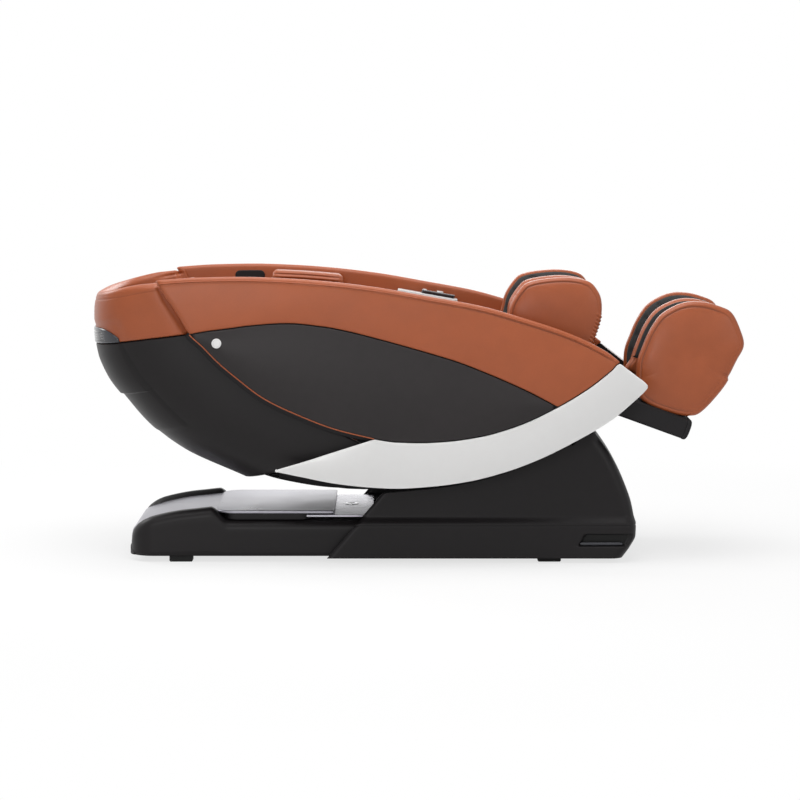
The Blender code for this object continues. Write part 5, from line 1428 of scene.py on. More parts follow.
@dataclass
class ArmPads:
    """Inside one side of the pod: a creased arm pad and a ribbed shoulder pad."""

    pod: PodSide
    arm_span: Span = (-0.215, 0.360)
    arm_drop: float = 0.062
    arm_height: float = 0.190
    arm_crown: float = 0.006
    arm_seam: float = 0.060
    seam_depth: float = 0.0030
    creases: Pairs = ((-0.19, 0.004), (-0.12, 0.003), (-0.02, 0.0035), (0.09, 0.003), (0.17, 0.004))
    crease_slant: float = 0.55
    crease_width: float = 0.012
    shoulder_span: Span = (-0.445, -0.225)
    shoulder_drop: float = 0.014
    shoulder_height: float = 0.110
    ribs: int = 9
    rib_depth: float = 0.006
    inner: float = 0.300
    liner: float = 0.0228
    form_half: float = 0.040

    def build(self) -> None:
        """Builds and dresses both pads."""
        self.arm()
        self.shoulder()

    def lay(self, form: PadForm, span: Span, drop: float, bulge: Array) -> Array:
        """Carries a block's places along the rim: along x, down from the rim, and in from the liner.

        Args:
            form: The block.
            span: Its start and end along x.
            drop: How far its top lies under the rim.
            bulge: How far each point stands out inwards.

        Returns:
            The points.
        """
        a, y, n = form.grid()
        x = (span[0] + span[1]) / 2 + a
        outer = self.pod.face(x) - self.liner
        inwards = 0.5 - 0.5 * y / form.half_width
        z = self.pod.rim(x) - drop - 2 * form.half_thick * (0.5 - 0.5 * n / form.half_thick)
        across = outer - (outer - self.inner) * inwards - bulge * ease(inwards, 0.2, 1.0)
        return points_of(x, self.pod.sign * across, z)

    def arm(self) -> None:
        """The arm pad, with a seam along its crown and slanting creases, each a bell about its line."""
        first, last = self.arm_span
        form = PadForm(last - first, self.form_half, self.arm_height / 2, 0.020, power=3.4,
                       stations=80, around=80)
        a, y, n = form.grid()
        along = a + self.crease_slant * n
        crease = sum(depth * bell(along, at, self.crease_width) for at, depth in self.creases)
        crown = self.arm_crown * (1 - (2 * a / form.length) ** 2) * (1 - (n / form.half_thick) ** 2)
        points = self.lay(form, self.arm_span, self.arm_drop, crown - crease)
        line = bell(n, self.arm_seam, 0.0035) * (y < 0)
        points[..., 1] += self.pod.sign * self.seam_depth * line
        # Painted shade in the sewn seam groove.
        piece = grid_piece(f"arm_cushion_{self.pod.side}", points, closed=True,
                           marks={"seam": line, "thread": y < 0},
                           sew=np.stack([a, n - self.arm_seam + 0.008], axis=-1))
        swell(piece, (line > 0.6) | (y > 0.3 * form.half_width), 1.1, 0.006)
        settle(piece, Body.POD, TAN, f"arm_pad_{self.pod.side}", fill=0.6)

    def shoulder(self) -> None:
        """The shoulder pad, with ribs |sin| between sewn grooves."""
        first, last = self.shoulder_span
        form = PadForm(last - first, self.form_half, self.shoulder_height / 2, 0.018, power=3.6,
                       stations=48, around=260)
        a, y, n = form.grid()
        wave = np.abs(np.sin(math.pi * self.ribs * (0.5 + 0.5 * n / form.half_thick)))
        bulge = -self.rib_depth * (1 - wave ** 0.6) * (1 - (2 * a / form.length) ** 8)
        points = self.lay(form, self.shoulder_span, self.shoulder_drop, bulge)
        # Painted shade in the grooves between the ribs.
        marks = {"seam": bell(wave, 0.0, 0.12) * (y < 0)}
        piece = grid_piece(f"shoulder_cushion_{self.pod.side}", points, closed=True, marks=marks)
        settle(piece, Body.POD, TAN, f"shoulder_pad_{self.pod.side}", fill=0.7)


@dataclass
class Legs:
    """Legrest and foot unit: leather wings, black inner pads, tan dividers, calf bed and bar nose."""

    tilt: Tilt = Tilt((0.420, 0.523), math.radians(-20.0))
    outer: float = 0.260
    inner: float = 0.214
    wing_face: tuple[float, ...] = (0.06, 0.14, 0.24, 0.34, 0.44, 0.54, 0.63, 0.71, 0.77, 0.815, 0.845, 0.862,
                                    0.872, 0.880, 0.888, 0.898, 0.915, 0.935, 0.955, 0.972, 0.985, 0.994, 1.0)
    wing_back: Pairs = ((0.992, 0.0022), (0.975, 0.0006), (0.93, 0), (0.80, 0), (0.6, 0), (0.4, 0), (0.2, 0))
    wing_crown: float = 0.0110
    wing_round: float = 0.0100
    wing_bow: float = 0.006
    crown_power: float = 3.6
    border_from: float = 0.925
    border_power: float = 2.2
    border_step: Span = (0.885, 0.90)
    firm_span: Span = (0.05, 0.70)
    welt_share: float = 0.911
    welt_depth: float = 0.0040
    welt_width: float = 0.008
    thread_gap: float = 0.006
    gather_from: Span = (-0.012, 0.012)
    gather_below: Span = (0.226, 0.234)
    gather_pitch: float = 0.0105
    gather_lean: float = 180.0
    gather_depth: float = 0.0016
    gather_lift: float = 0.0012
    flap_from: Span = (0.30, 0.33)
    flap_below: Span = (0.176, 0.184)
    flap_bottom_from: Span = (0.205, 0.225)
    flap_bottom_below: Span = (0.080, 0.110)
    flap_push: float = 0.0042
    flap_lift: float = 0.0030
    notch_at: float = 0.188
    notch_width: float = 0.006
    notch_from: Span = (0.395, 0.425)
    notch_shares: Span = (0.70, 0.95)
    notch_depth: float = 0.0050
    pad_stand: float = 0.013
    pad_share: float = 0.95
    pad_power: float = 2.6
    pad_back: float = -0.12
    bar_pitch: float = 0.055
    bar_width: float = 0.004
    bar_sink: float = 0.2
    well_stand: float = 0.006
    well_share: float = 0.975
    well_lap: float = 0.0005
    bed: Span = (-0.170, 0.050)
    bed_levels: Span = (0.0303, 0.0853)
    bed_hollow: float = 0.012
    bed_round: float = 0.016
    bed_rib: float = 0.003
    rib_pitch: float = 0.05
    rib_width: float = 0.0035
    rib_from: float = 0.035
    hollow_at: float = 0.12
    hollow_width: float = 0.055
    bar_end: float = 0.394
    bar_half: float = 0.255
    bar_thick: float = 0.030
    nose_reach: float = 0.015
    nose_lap: float = 0.010
    nose_lip: float = 0.004
    nose_fit: float = 0.0008
    divider_half: float = 0.028
    divider_size: float = 1.03
    divider_flat: tuple[float, ...] = (0.08, 0.22, 0.38, 0.54, 0.68, 0.78)
    divider_draw: float = 0.16
    divider_square: float = 0.004
    divider_welt: Span = (1.05, 0.09)
    divider_pinch: float = 0.07
    calf: Pairs = ((-0.176, 0.050), (-0.216, 0.145), (-0.207, 0.217), (-0.180, 0.252), (-0.100, 0.292),
                   (-0.032, 0.306), (0.005, 0.290), (0.028, 0.262), (0.042, 0.215), (0.044, 0.138),
                   (0.034, 0.050))
    calf_middle: Pairs = ((-0.160, 0.092), (-0.206, 0.147), (-0.197, 0.214), (-0.171, 0.247), (-0.095, 0.285),
                          (-0.030, 0.297), (0.005, 0.282), (0.026, 0.254), (0.038, 0.210), (0.039, 0.138),
                          (0.034, 0.092))
    foot: Pairs = ((0.215, 0.062), (0.188, 0.129), (0.186, 0.187), (0.190, 0.240), (0.206, 0.292),
                   (0.250, 0.340), (0.300, 0.362), (0.355, 0.368), (0.395, 0.362), (0.434, 0.326),
                   (0.4605, 0.286), (0.456, 0.236), (0.445, 0.157), (0.412, 0.070), (0.382, 0.044),
                   (0.330, 0.034), (0.254, 0.036))
    foot_middle: Pairs = ((0.200, 0.083), (0.193, 0.130), (0.192, 0.187), (0.196, 0.238), (0.212, 0.288),
                          (0.254, 0.333), (0.301, 0.354), (0.353, 0.359), (0.391, 0.353), (0.427, 0.320),
                          (0.450, 0.284), (0.447, 0.236), (0.437, 0.174), (0.404, 0.174), (0.381, 0.105),
                          (0.362, 0.083))
    calf_floors: Triple = (0.098, 0.100, 0.0905)
    foot_floors: Triple = (0.100, 0.135, 0.0825)

    def build(self) -> None:
        """Builds and dresses the legrest and the foot unit."""
        for side, sign in SIDES.items():
            self.wing(f"calf_side_{side}", self.calf, sign, Body.LEG, f"calf_wing_{side}", self.gathers)
            self.wing(f"foot_side_{side}", self.foot, sign, Body.FOOT, f"foot_wing_{side}", self.flap)
            at, stand = sign * self.inner, -sign * self.pad_stand
            self.lining(f"calf_inner_{side}", self.calf, at, stand, Body.LEG, self.calf_floors[0],
                        self.pad_share)
            self.lining(f"foot_inner_{side}", self.foot, at, stand, Body.FOOT, self.foot_floors[0],
                        self.pad_share)
            at, stand = sign * (self.divider_half - self.well_lap), sign * self.well_stand
            self.lining(f"calf_well_{side}", self.calf_middle, at, stand, Body.LEG, self.calf_floors[1],
                        self.well_share)
            self.lining(f"foot_well_{side}", self.foot_middle, at, stand, Body.FOOT, self.foot_floors[1],
                        self.well_share)
        self.divider("calf_middle", self.calf_middle, Body.LEG, "calf_divider", self.calf_floors[2])
        self.divider("foot_middle", self.foot_middle, Body.FOOT, "foot_divider", self.foot_floors[2])
        self.calf_bed()
        self.nose()

    def gathers(self, u: Array, n: Array, share: Array) -> tuple[Array, Array]:
        """Ruched leather at the calf wing's lower front edge, a slanting sine wave inside a soft window.

        Args:
            u: Places along the leg.
            n: Places above it.
            share: Each ring's share of the outline.

        Returns:
            How far each point is pushed out along the outline, and how far it is lifted.
        """
        window = ease(u, *self.gather_from) * (1 - ease(n, *self.gather_below)) * ease(share, *self.border_step)
        wave = np.sin(2 * math.pi * n / self.gather_pitch + self.gather_lean * u)
        return window * self.gather_depth * (1 + wave), window * (self.gather_lift + self.gather_depth * wave)

    def flap(self, u: Array, n: Array, share: Array) -> tuple[Array, Array]:
        """A raised flap along the foot wing's lower front and bottom edge, from a notch: soft windows.

        Args:
            u: Places along the leg.
            n: Places above it.
            share: Each ring's share of the outline.

        Returns:
            How far each point is pushed out along the outline, and how far it is lifted.
        """
        front = (1 - ease(n, *self.flap_below)) * ease(u, *self.flap_from)
        bottom = (1 - ease(n, *self.flap_bottom_below)) * ease(u, *self.flap_bottom_from)
        raised = np.maximum(front, bottom) * ease(share, *self.border_step)
        notch = bell(n, self.notch_at, self.notch_width) * ease(u, *self.notch_from)
        notch = notch * ease(share, *self.notch_shares)
        return self.flap_push * raised, self.flap_lift * raised - self.notch_depth * notch

    def wing(self, name: str, outline: Pairs, sign: float, body: Body, node: str, trim: Callable) -> None:
        """A bordered pad: rings of the outline from the face's middle over a welt to the inner face.

        Args:
            name: The piece's name.
            outline: Its outline in the leg's frame.
            sign: Which way its side lies along y.
            body: The body that carries it.
            node: The CAD node that it stands for.
            trim: Gives the border's own push and lift.
        """
        edge = closed_curve(outline, 320)
        from_middle = edge - edge.mean(axis=0)
        face, back, box = np.array(self.wing_face), np.array(self.wing_back), np.linspace(0, 1, 8)[1:]
        crown = self.wing_crown * np.minimum(face / 0.91, 1.0) ** self.crown_power
        border = np.clip((face - self.border_from) / (1 - self.border_from), 0, 1) ** self.border_power
        level = self.outer - crown - self.wing_round * border
        box_level = level[-1] + (self.inner + self.wing_bow - level[-1]) * box
        box_share = 1.0 + self.wing_bow * np.sin(math.pi * box)
        shares = np.concatenate([face, box_share, back[:, 0]])[:, None]
        levels = np.concatenate([level, box_level, self.inner + back[:, 1]])[:, None]
        u, n = rings(edge, shares)
        ring = np.arange(len(shares))[:, None]
        on_face, trimmed = ring < len(face), ring < len(face) + 4
        push, lift = trim(u, n, np.minimum(shares, 1.0))
        firm = 1 - 0.8 * ease(from_middle[:, 0] / np.abs(from_middle[:, 0]).max(), *self.firm_span)
        lift = lift * trimmed - self.welt_depth * firm * bell(shares, self.welt_share, 0.010) * on_face
        away = unit(from_middle) * (push * trimmed)[..., None]
        points = self.tilt(u + away[..., 0], sign * (levels + lift), n + away[..., 1])
        radius = np.linalg.norm(from_middle, axis=1).mean()
        across = np.where(on_face, (shares - self.welt_share + self.thread_gap) * radius, 1.0)
        welt = bell(shares, self.welt_share, self.welt_width) * on_face
        # Painted shade in the welt groove, painted highlight along the rolled outline.
        marks = {"seam": 0.8 * welt * firm, "thread": firm * on_face,
                 "edge": 0.6 * bell(shares, 1.0, 0.02) * on_face}
        piece = grid_piece(name, points, closed=True, marks=marks,
                           sew=np.stack(np.broadcast_arrays(run_along(edge), across), axis=-1))
        swell(piece, np.broadcast_to((welt > 0.4) | ~on_face, u.shape), 0.9, 0.006, poles=(False, True))
        settle(piece, body, TAN, node, fill=0.85)

    def lining(self, name: str, outline: Pairs, at: float, stand: float, body: Body, floor: float,
               share: float) -> None:
        """A black pad on the flat side of a wing or a divider: a lens over the outline, kept above the bed.

        Args:
            name: The piece's name.
            outline: The outline that it follows, in the leg's frame.
            at: Where the flat side lies along y.
            stand: How far its middle stands out along y.
            body: The body that carries it.
            floor: Its lowest level.
            share: Its size, as a share of the outline's.
        """
        edge = np.stack(rings(closed_curve(outline, 120), np.array([share]))).T
        edge[:, 1] = np.maximum(edge[:, 1], floor)
        back = (0.985, 0.9, 0.6, 0.3)
        rim = np.sin(np.linspace(1.0, QUARTER, 8))
        shares = np.concatenate([np.linspace(0.08, 0.80, 9), rim, back])[:, None]
        bulge = np.sqrt(np.maximum(1 - shares ** self.pad_power, 0.0))
        bulge[-len(back):] = self.pad_back
        u, n = rings(edge, shares)
        bars = bell(np.mod(n, self.bar_pitch), self.bar_pitch / 2, self.bar_width) * (bulge > 0.3)
        points = self.tilt(u, at + stand * (bulge - self.bar_sink * bars), n)
        # Painted shade in the sunk bars.
        settle(grid_piece(name, points, closed=True, marks={"seam": bars}), body, BLACK_LINING, fill=0.6)

    def divider(self, name: str, outline: Pairs, body: Body, node: str, floor: float) -> None:
        """A tan divider with the wings' own outline: a flat-sided pad whose edge rolls over by a half circle.

        Args:
            name: The piece's name.
            outline: Its outline in the leg's frame.
            body: The body that carries it.
            node: The CAD node that it stands for.
            floor: Its lowest level.
        """
        flat, (welt_at, welt_wide) = np.array(self.divider_flat), self.divider_welt
        turn = np.linspace(-QUARTER, QUARTER, 19)
        roll_share = 1 - self.divider_draw * (1 - np.cos(turn))
        round_level = (self.divider_half - self.divider_square) * np.sin(turn)
        roll_level = round_level + self.divider_square * np.sign(turn) * np.sin(turn) ** 2
        welt = np.pad(bell(np.abs(turn), welt_at, welt_wide), len(flat))[:, None]
        levels = np.pad(roll_level, len(flat), mode="edge")[:, None] * (1 - self.divider_pinch * welt)
        shares = self.divider_size * np.concatenate([flat, roll_share, flat[::-1]])[:, None]
        u, n = rings(closed_curve(outline, 168), shares)
        points = self.tilt(u, levels, np.maximum(n, floor))
        # Painted shade in the pinched welt.
        settle(grid_piece(name, points, closed=True, marks={"seam": 0.8 * welt}), body, TAN, node, fill=0.8)

    def calf_bed(self) -> None:
        """The black calf bed, hollowed for two legs by two bells, with sewn ribs across it."""
        (first, last), (low, high) = self.bed, self.bed_levels
        half_thick = (high - low) / 2
        form = PadForm(last - first, self.inner - FIT, half_thick, self.bed_round, stations=40, around=112)
        a, y, n = form.grid()
        top = np.clip(n / form.half_thick, 0, 1) ** 2
        ribs = bell(np.mod(a, self.rib_pitch), self.rib_pitch / 2, self.rib_width) * top
        ribs = ribs * (np.abs(y) > self.rib_from)
        hollow = top * bell(np.abs(y), self.hollow_at, self.hollow_width)
        n = n + self.bed_rib * (top - ribs) - self.bed_hollow * hollow
        points = self.tilt(a + (first + last) / 2, y, n + (low + high) / 2)
        # Painted shade in the sewn ribs.
        piece = grid_piece("calf_bed_pad", points, closed=True, marks={"seam": ribs})
        settle(piece, Body.LEG, BLACK_LINING, "calf_bed", fill=0.6)

    def nose(self) -> None:
        """A round-cornered nose over the bar's foot end: |u|^3 + |n|^3 = 1 across it, closed flat behind."""
        turn = np.linspace(-QUARTER, QUARTER, 31)
        cos, sin = np.cos(turn), np.sin(turn)
        reach = np.concatenate([[0, 0, 0.1], 0.1 + 0.9 * np.abs(cos) ** (2 / 3), [0.1, 0, 0]]) * self.nose_reach
        tall = np.concatenate([[-0.9, -1, -1], np.sign(sin) * np.abs(sin) ** (2 / 3), [1, 1, 0.9]])
        bend = np.linspace(0, QUARTER, 6)
        short = 1 - np.concatenate([np.sin(bend), np.ones(20), np.sin(bend)[::-1]])[:, None]
        end = 1 - self.nose_lip / self.bar_half * (1 - np.cos(bend))
        y = np.concatenate([-end, np.linspace(-0.98, 0.98, 20), end[::-1]]) * (self.bar_half + self.nose_fit)
        u = self.bar_end - self.nose_lap + reach * (1 - 0.15 * short)
        n = tall * (self.bar_thick + self.nose_fit - self.nose_lip * short)
        settle(grid_piece("bar_nose", self.tilt(u, y[:, None], n), closed=True), Body.LEG, DARK)


def slab_piece(name: str, outline: Array, levels: Span, edge: float, fill: int = 8,
               place: Callable[..., Array] = points_of) -> Piece:
    """A plate of an outline between two levels, laid level or by a frame."""
    return grid_piece(name, place(*slab_grid(outline, *levels, edge, fill)), closed=True)


@dataclass
class Base:
    """Floor base: rear cover with a silver ramp between its cheeks, top plate, slide bolt and front shroud."""

    floor: float = 0.018
    cover_half: float = 0.250
    cover_tail: float = -0.840
    cover_corner: float = 0.070
    cover_shoulder: float = 0.026
    cover_low: float = 0.1215
    cover_end: float = -0.105
    cover_fall: Span = (-0.552, -0.545)
    deck_start: float = -0.53
    cheek: float = 0.196
    bed_step: Span = (-0.010, 0.006)
    bed_end: Span = (-0.568, -0.556)
    bed_start: Span = (0.065, 0.11)
    bed_room: float = 0.004
    ramp_sink: float = 0.013
    ramp_dip: Span = (0.09, 0.13)
    ramp_margin: float = 0.024
    ramp_stand: float = 0.0015
    ramp_foot: float = 0.046
    ramp_head: float = 0.1595
    ramp_edge: float = 0.004
    thin_wall: float = 0.003
    cover: Pairs = ((-0.826, 0.018), (-0.835, 0.028), (-0.839, 0.040), (-0.840, 0.060), (-0.832, 0.090),
                    (-0.812, 0.112), (-0.776, 0.130), (-0.706, 0.146), (-0.640, 0.154), (-0.604, 0.158))
    plate_span: Span = (-0.5914, -0.242)
    plate_half: float = 0.240
    plate_z: Span = (0.1415, 0.150)
    plate_corner: float = 0.060
    plate_edge: float = 0.0035
    lip_span: Span = (-0.560, -0.312)
    lip_half: float = 0.236
    lip_corner: float = 0.030
    lip_z: Span = (0.1235, 0.1435)
    bolt_at: Triple = (-0.195, 0.02, 0.136)
    bolt_radius: float = 0.022
    bolt_profile: Pairs = ((0.05, 0.0012), (0.45, 0.0012), (0.50, 0.0007), (0.55, 0.0016), (0.88, 0.0016),
                           (0.96, 0.0012), (1.0, 0.0004), (1.0, -0.001))
    belly: Pairs = ((-0.474, 0.2600), (-0.410, 0.2405), (-0.330, 0.2245), (-0.260, 0.2150), (-0.190, 0.2115))
    belly_half: float = 0.250
    belly_wall: float = 0.004
    belly_narrow: float = 0.04
    belly_curl: float = 0.006
    shroud_top: Pairs = ((-0.100, 0.205), (0.000, 0.213), (0.100, 0.226), (0.200, 0.247), (0.300, 0.281),
                         (0.400, 0.324), (0.521, 0.383))
    shroud_front: Pairs = ((0.014, 0.601), (0.046, 0.624), (0.080, 0.640), (0.113, 0.641), (0.166, 0.633),
                           (0.236, 0.609), (0.305, 0.575), (0.383, 0.521))
    shroud_tail: Span = (-0.262, -0.100)
    shroud_foot: float = 0.014
    shroud_corner: float = 0.034
    shroud_bow: float = 0.004
    shroud_wall: float = 0.006
    shroud_knee: float = 0.455
    knee_share: float = 0.6
    skirt: float = 0.275
    cheek_outer: float = 0.262
    ledge_z: float = 0.112
    ledge: float = 0.026
    ledge_step: float = 0.0040
    groove_depth: float = 0.0018
    groove_width: float = 0.0016
    recess_x: Span = (0.465, 0.612)
    recess_z: Span = (0.046, 0.087)
    recess_depth: float = 0.014
    recess_slant: float = 0.024
    recess_ramp: float = 0.006
    recess_roof: float = 0.004
    recess_turn: Span = (0.5, 0.7)
    bar_radius: float = 0.0045
    bar_ends: Span = (0.010, 0.012)
    bar_inset: float = 0.0055
    bar_rise: float = 0.011

    def build(self) -> None:
        """Builds and dresses the base."""
        self.rear_cover()
        self.ramp()
        self.top_plate()
        self.bolt()
        self.belly_lip()
        self.shroud()
        for side, sign in SIDES.items():
            self.recess_bar(side, sign)

    def spine(self) -> Array:
        """The cover's middle line from the floor at the rear, up and over, then softly down to the deck.

        Returns:
            Places along x and heights, one point per row.
        """
        top_x, top_z = self.cover[-1]
        fall_x = np.linspace(top_x + 0.003, self.cover_fall[1], 16)
        fall_z = top_z + (self.cover_low - top_z) * ease(fall_x, top_x, self.cover_fall[0])
        deck_x = np.linspace(self.deck_start, self.cover_end, 30)
        x, z = np.append(fall_x, deck_x), np.append(fall_z, np.full(len(deck_x), self.cover_low))
        return np.vstack([open_curve(self.cover, 64), np.stack([x, z], axis=1)])

    @staticmethod
    def round_half(x: Array, start: float, half: float, corner: float) -> Array:
        """Half width of a plan whose corners at its start are quarter circles."""
        into = np.clip(corner - (x - start), 0, corner)
        return half - corner + np.sqrt(np.maximum(corner ** 2 - into ** 2, 0))

    def rear_cover(self) -> None:
        """The dark cover: along its middle line a section of wall, round shoulder, cheek and sunk bed."""
        x, top = np.hsplit(self.spine(), 2)
        half = self.round_half(x, self.cover_tail, self.cover_half, self.cover_corner)
        tall = top - self.floor
        radius = np.minimum(self.cover_shoulder, 0.48 * tall)
        bend, wall, inward = np.linspace(0, QUARTER, 9), np.linspace(0, 1, 8)[:-1], np.linspace(0, 1, 26)[1:]
        level = np.ones_like(inward)
        up = np.concatenate([(tall - radius) * wall, tall - radius * (1 - np.sin(bend)), tall * level], axis=1)
        upright, cheek = np.zeros((len(x), len(wall))), radius + (half - radius) * inward
        into = np.concatenate([upright, radius * (1 - np.cos(bend)), cheek], axis=1)
        y = half - into
        bed = ease(self.cheek - y, *self.bed_step) * (1 - ease(x, *self.bed_end)) * ease(tall, *self.bed_start)
        rightward = points_of(x, -y, self.floor + up - (self.ramp_sink + self.bed_room) * bed)
        # Painted highlight along the rounded shoulder.
        shoulder = 0.5 * bell(into / np.maximum(radius, 1e-6), 0.4, 0.4)
        piece = grid_piece("rear_housing", twinned(rightward, MIRROR), probe=(0.45, 0.5),
                           marks={"edge": twinned(shoulder)})
        settle(give_wall(piece, self.thin_wall), Body.BASE, SHROUD, "base_rear_cover")

    def ramp(self) -> None:
        """The silver ramp between the cheeks, a strip with rolled edges along the cover's middle line."""
        spine = open_curve((*self.cover, (self.plate_span[0] + 0.004, self.ramp_head)), 120)
        spine = spine[spine[:, 1] > self.ramp_foot]
        across = np.linspace(-1, 1, 60)
        half = self.round_half(spine[:, :1], self.cover_tail, self.cover_half, self.cover_corner)
        half = np.minimum(self.cheek - 0.001, half - self.ramp_margin)
        edge = np.minimum((1 - np.abs(across)) * half, np.linspace(0, 0.2, len(spine))[:, None])
        line = unit(np.gradient(spine, axis=0))
        sink = (self.ramp_sink + self.ramp_stand) * ease(spine[:, 1:], *self.ramp_dip)
        lift = self.ramp_stand - sink - rolled(edge, self.ramp_edge)
        points = points_of(spine[:, :1] - line[:, 1:] * lift, across * half, spine[:, 1:] + line[:, :1] * lift)
        piece = grid_piece("silver_ramp", points, probe=(0.9, 0.5))
        settle(give_wall(piece, self.thin_wall), Body.BASE, PLATE)

    def top_plate(self) -> None:
        """The silver plate, round at its rear corners, with a lip under each side."""
        outline = round_rect(*self.plate_span, self.plate_half, 0.003, 400)
        limit = self.round_half(outline[:, 0], self.plate_span[0], self.plate_half, self.plate_corner)
        outline[:, 1] = np.clip(outline[:, 1], -limit, limit)
        plate = slab_piece("deck_plate", even_steps(outline, 360, closed=True), self.plate_z, self.plate_edge)
        settle(plate, Body.BASE, PLATE, "base_top_plate")
        outline = round_rect(*self.lip_span, self.lip_half, self.lip_corner, 200)
        settle(slab_piece("deck_lip", outline, self.lip_z, 0.001), Body.BASE, DARK)

    def bolt(self) -> None:
        """A flat bright bolt head in a washer on the slide plate, a profile turned about z."""
        profile = np.array(self.bolt_profile) * (self.bolt_radius, 1)
        turn = circle(48)
        x, y, z = self.bolt_at
        radius, rise = profile[:, :1], profile[:, 1:]
        points = points_of(x + radius * np.cos(turn), y + radius * np.sin(turn), z + rise)
        settle(grid_piece("slide_bolt", points, closed=True), Body.CARRIAGE, BOLT)

    def belly_lip(self) -> None:
        """The belly's dark lip from under the hull's end to the blade's foot, a strip along a curve."""
        path = open_curve(self.belly, 48)
        t, y = np.linspace(0, 1, len(path))[:, None], np.linspace(-1, 1, 40)
        half = self.belly_half * (1 - self.belly_narrow * (1 - t) ** 3)
        points = points_of(path[:, :1], y * half, path[:, 1:] + self.belly_curl * np.abs(y) ** 6)
        piece = grid_piece("belly_lip", points, facing=DOWNWARDS)
        settle(give_wall(piece, self.belly_wall), Body.POD, DARK)

    def shroud(self) -> None:
        """The front shroud as a sheet of heights by a path: right side, corner, front, corner, left side."""
        spans = ((self.shroud_foot, 0.040, 8), (0.042, 0.093, 34), (0.096, 0.145, 26),
                 (0.150, self.shroud_top[-1][1], 44))
        z = np.concatenate([np.linspace(*span) for span in spans])[:, None]
        (low, high), top_z = self.shroud_tail, self.shroud_top[0][1]
        tail_run = low + (high - low) * (z - self.shroud_foot) / (top_z - self.shroud_foot)
        top_run = Line([(b, a) for a, b in self.shroud_top])(np.maximum(z, top_z))
        tail = np.where(z < top_z, tail_run, top_run)
        front = Line(self.shroud_front)(z)
        radius = np.minimum(self.shroud_corner, 0.45 * (front - tail) + 0.002)
        above = ease(z, self.ledge_z, self.ledge_z + self.ledge)
        groove = bell(z, self.ledge_z - 0.002, self.groove_width)
        half = self.skirt + (self.cheek_outer - self.skirt) * above - self.groove_depth * groove
        front = front - self.ledge_step * above - self.groove_depth * groove
        knee = np.minimum(self.shroud_knee, tail + self.knee_share * (front - radius - tail))
        bend = np.linspace(0, QUARTER, 14)[1:]
        side_x = np.concatenate([tail + (knee - tail) * np.linspace(0, 1, 30),
                                 (knee + (front - radius - knee) * np.linspace(0, 1, 56))[:, 1:]], axis=1)
        (x0, _), (z0, z1) = self.recess_x, self.recess_z
        slant = x0 + self.recess_slant * (z - z0) / (z1 - z0)
        tall = ease(z, z0, z0 + self.bar_rise) * (1 - ease(z, z1 - self.recess_roof, z1))
        side_sunk = ease(side_x, slant, slant + self.recess_ramp) * tall
        turn_sunk = tall * (1 - ease(bend, *self.recess_turn))
        pull = radius - self.recess_depth * turn_sunk
        across = np.linspace(1, 0, 24)[1:]
        xs = np.concatenate([side_x, front - radius + pull * np.sin(bend),
                             front + self.shroud_bow * (1 - across ** 2)], axis=1)
        ys = np.concatenate([half - self.recess_depth * side_sunk, half - radius + pull * np.cos(bend),
                             (half - radius) * across], axis=1)
        sunk = np.concatenate([side_sunk, turn_sunk, np.zeros((len(z), len(across)))], axis=1)
        # Painted shade in the recess and in the ledge groove.
        seam = np.maximum(sunk ** 2, 0.6 * groove)
        # Painted highlight on the recess's lower lip and along the rear edge.
        edge = np.where(xs > x0, bell(z, z0 + 0.004, 0.003) * (seam > 0), 0.0)
        edge[:, :2] = 0.8
        points = twinned(points_of(xs, -ys, z), MIRROR)
        piece = grid_piece("shroud", points, facing=(0, -1, 0), probe=(0.3, 0.1),
                           marks={"seam": twinned(seam), "edge": twinned(edge)})
        settle(give_wall(piece, self.shroud_wall), Body.CARRIAGE, SHROUD, "front_shroud")

    def recess_bar(self, side: str, sign: float) -> None:
        """A glossy grip bar along the foot of the shroud's recess, a round rod with domed ends.

        Args:
            side: The side's name.
            sign: Which way that side lies along y.
        """
        run = np.linspace(0, 1, 60)[:, None]
        radius = self.bar_radius * np.sqrt(np.maximum(1 - np.abs(2 * run - 1) ** 24, 0.01))
        turn = circle(24)
        first, last = self.recess_x[0] + self.bar_ends[0], self.recess_x[1] - self.bar_ends[1]
        y = sign * (self.skirt - self.bar_inset + radius * np.cos(turn))
        points = points_of(first + (last - first) * run, y,
                           self.recess_z[0] + self.bar_rise + radius * np.sin(turn))
        settle(grid_piece(f"recess_bar_{side}", points, closed=True), Body.CARRIAGE, VENT)


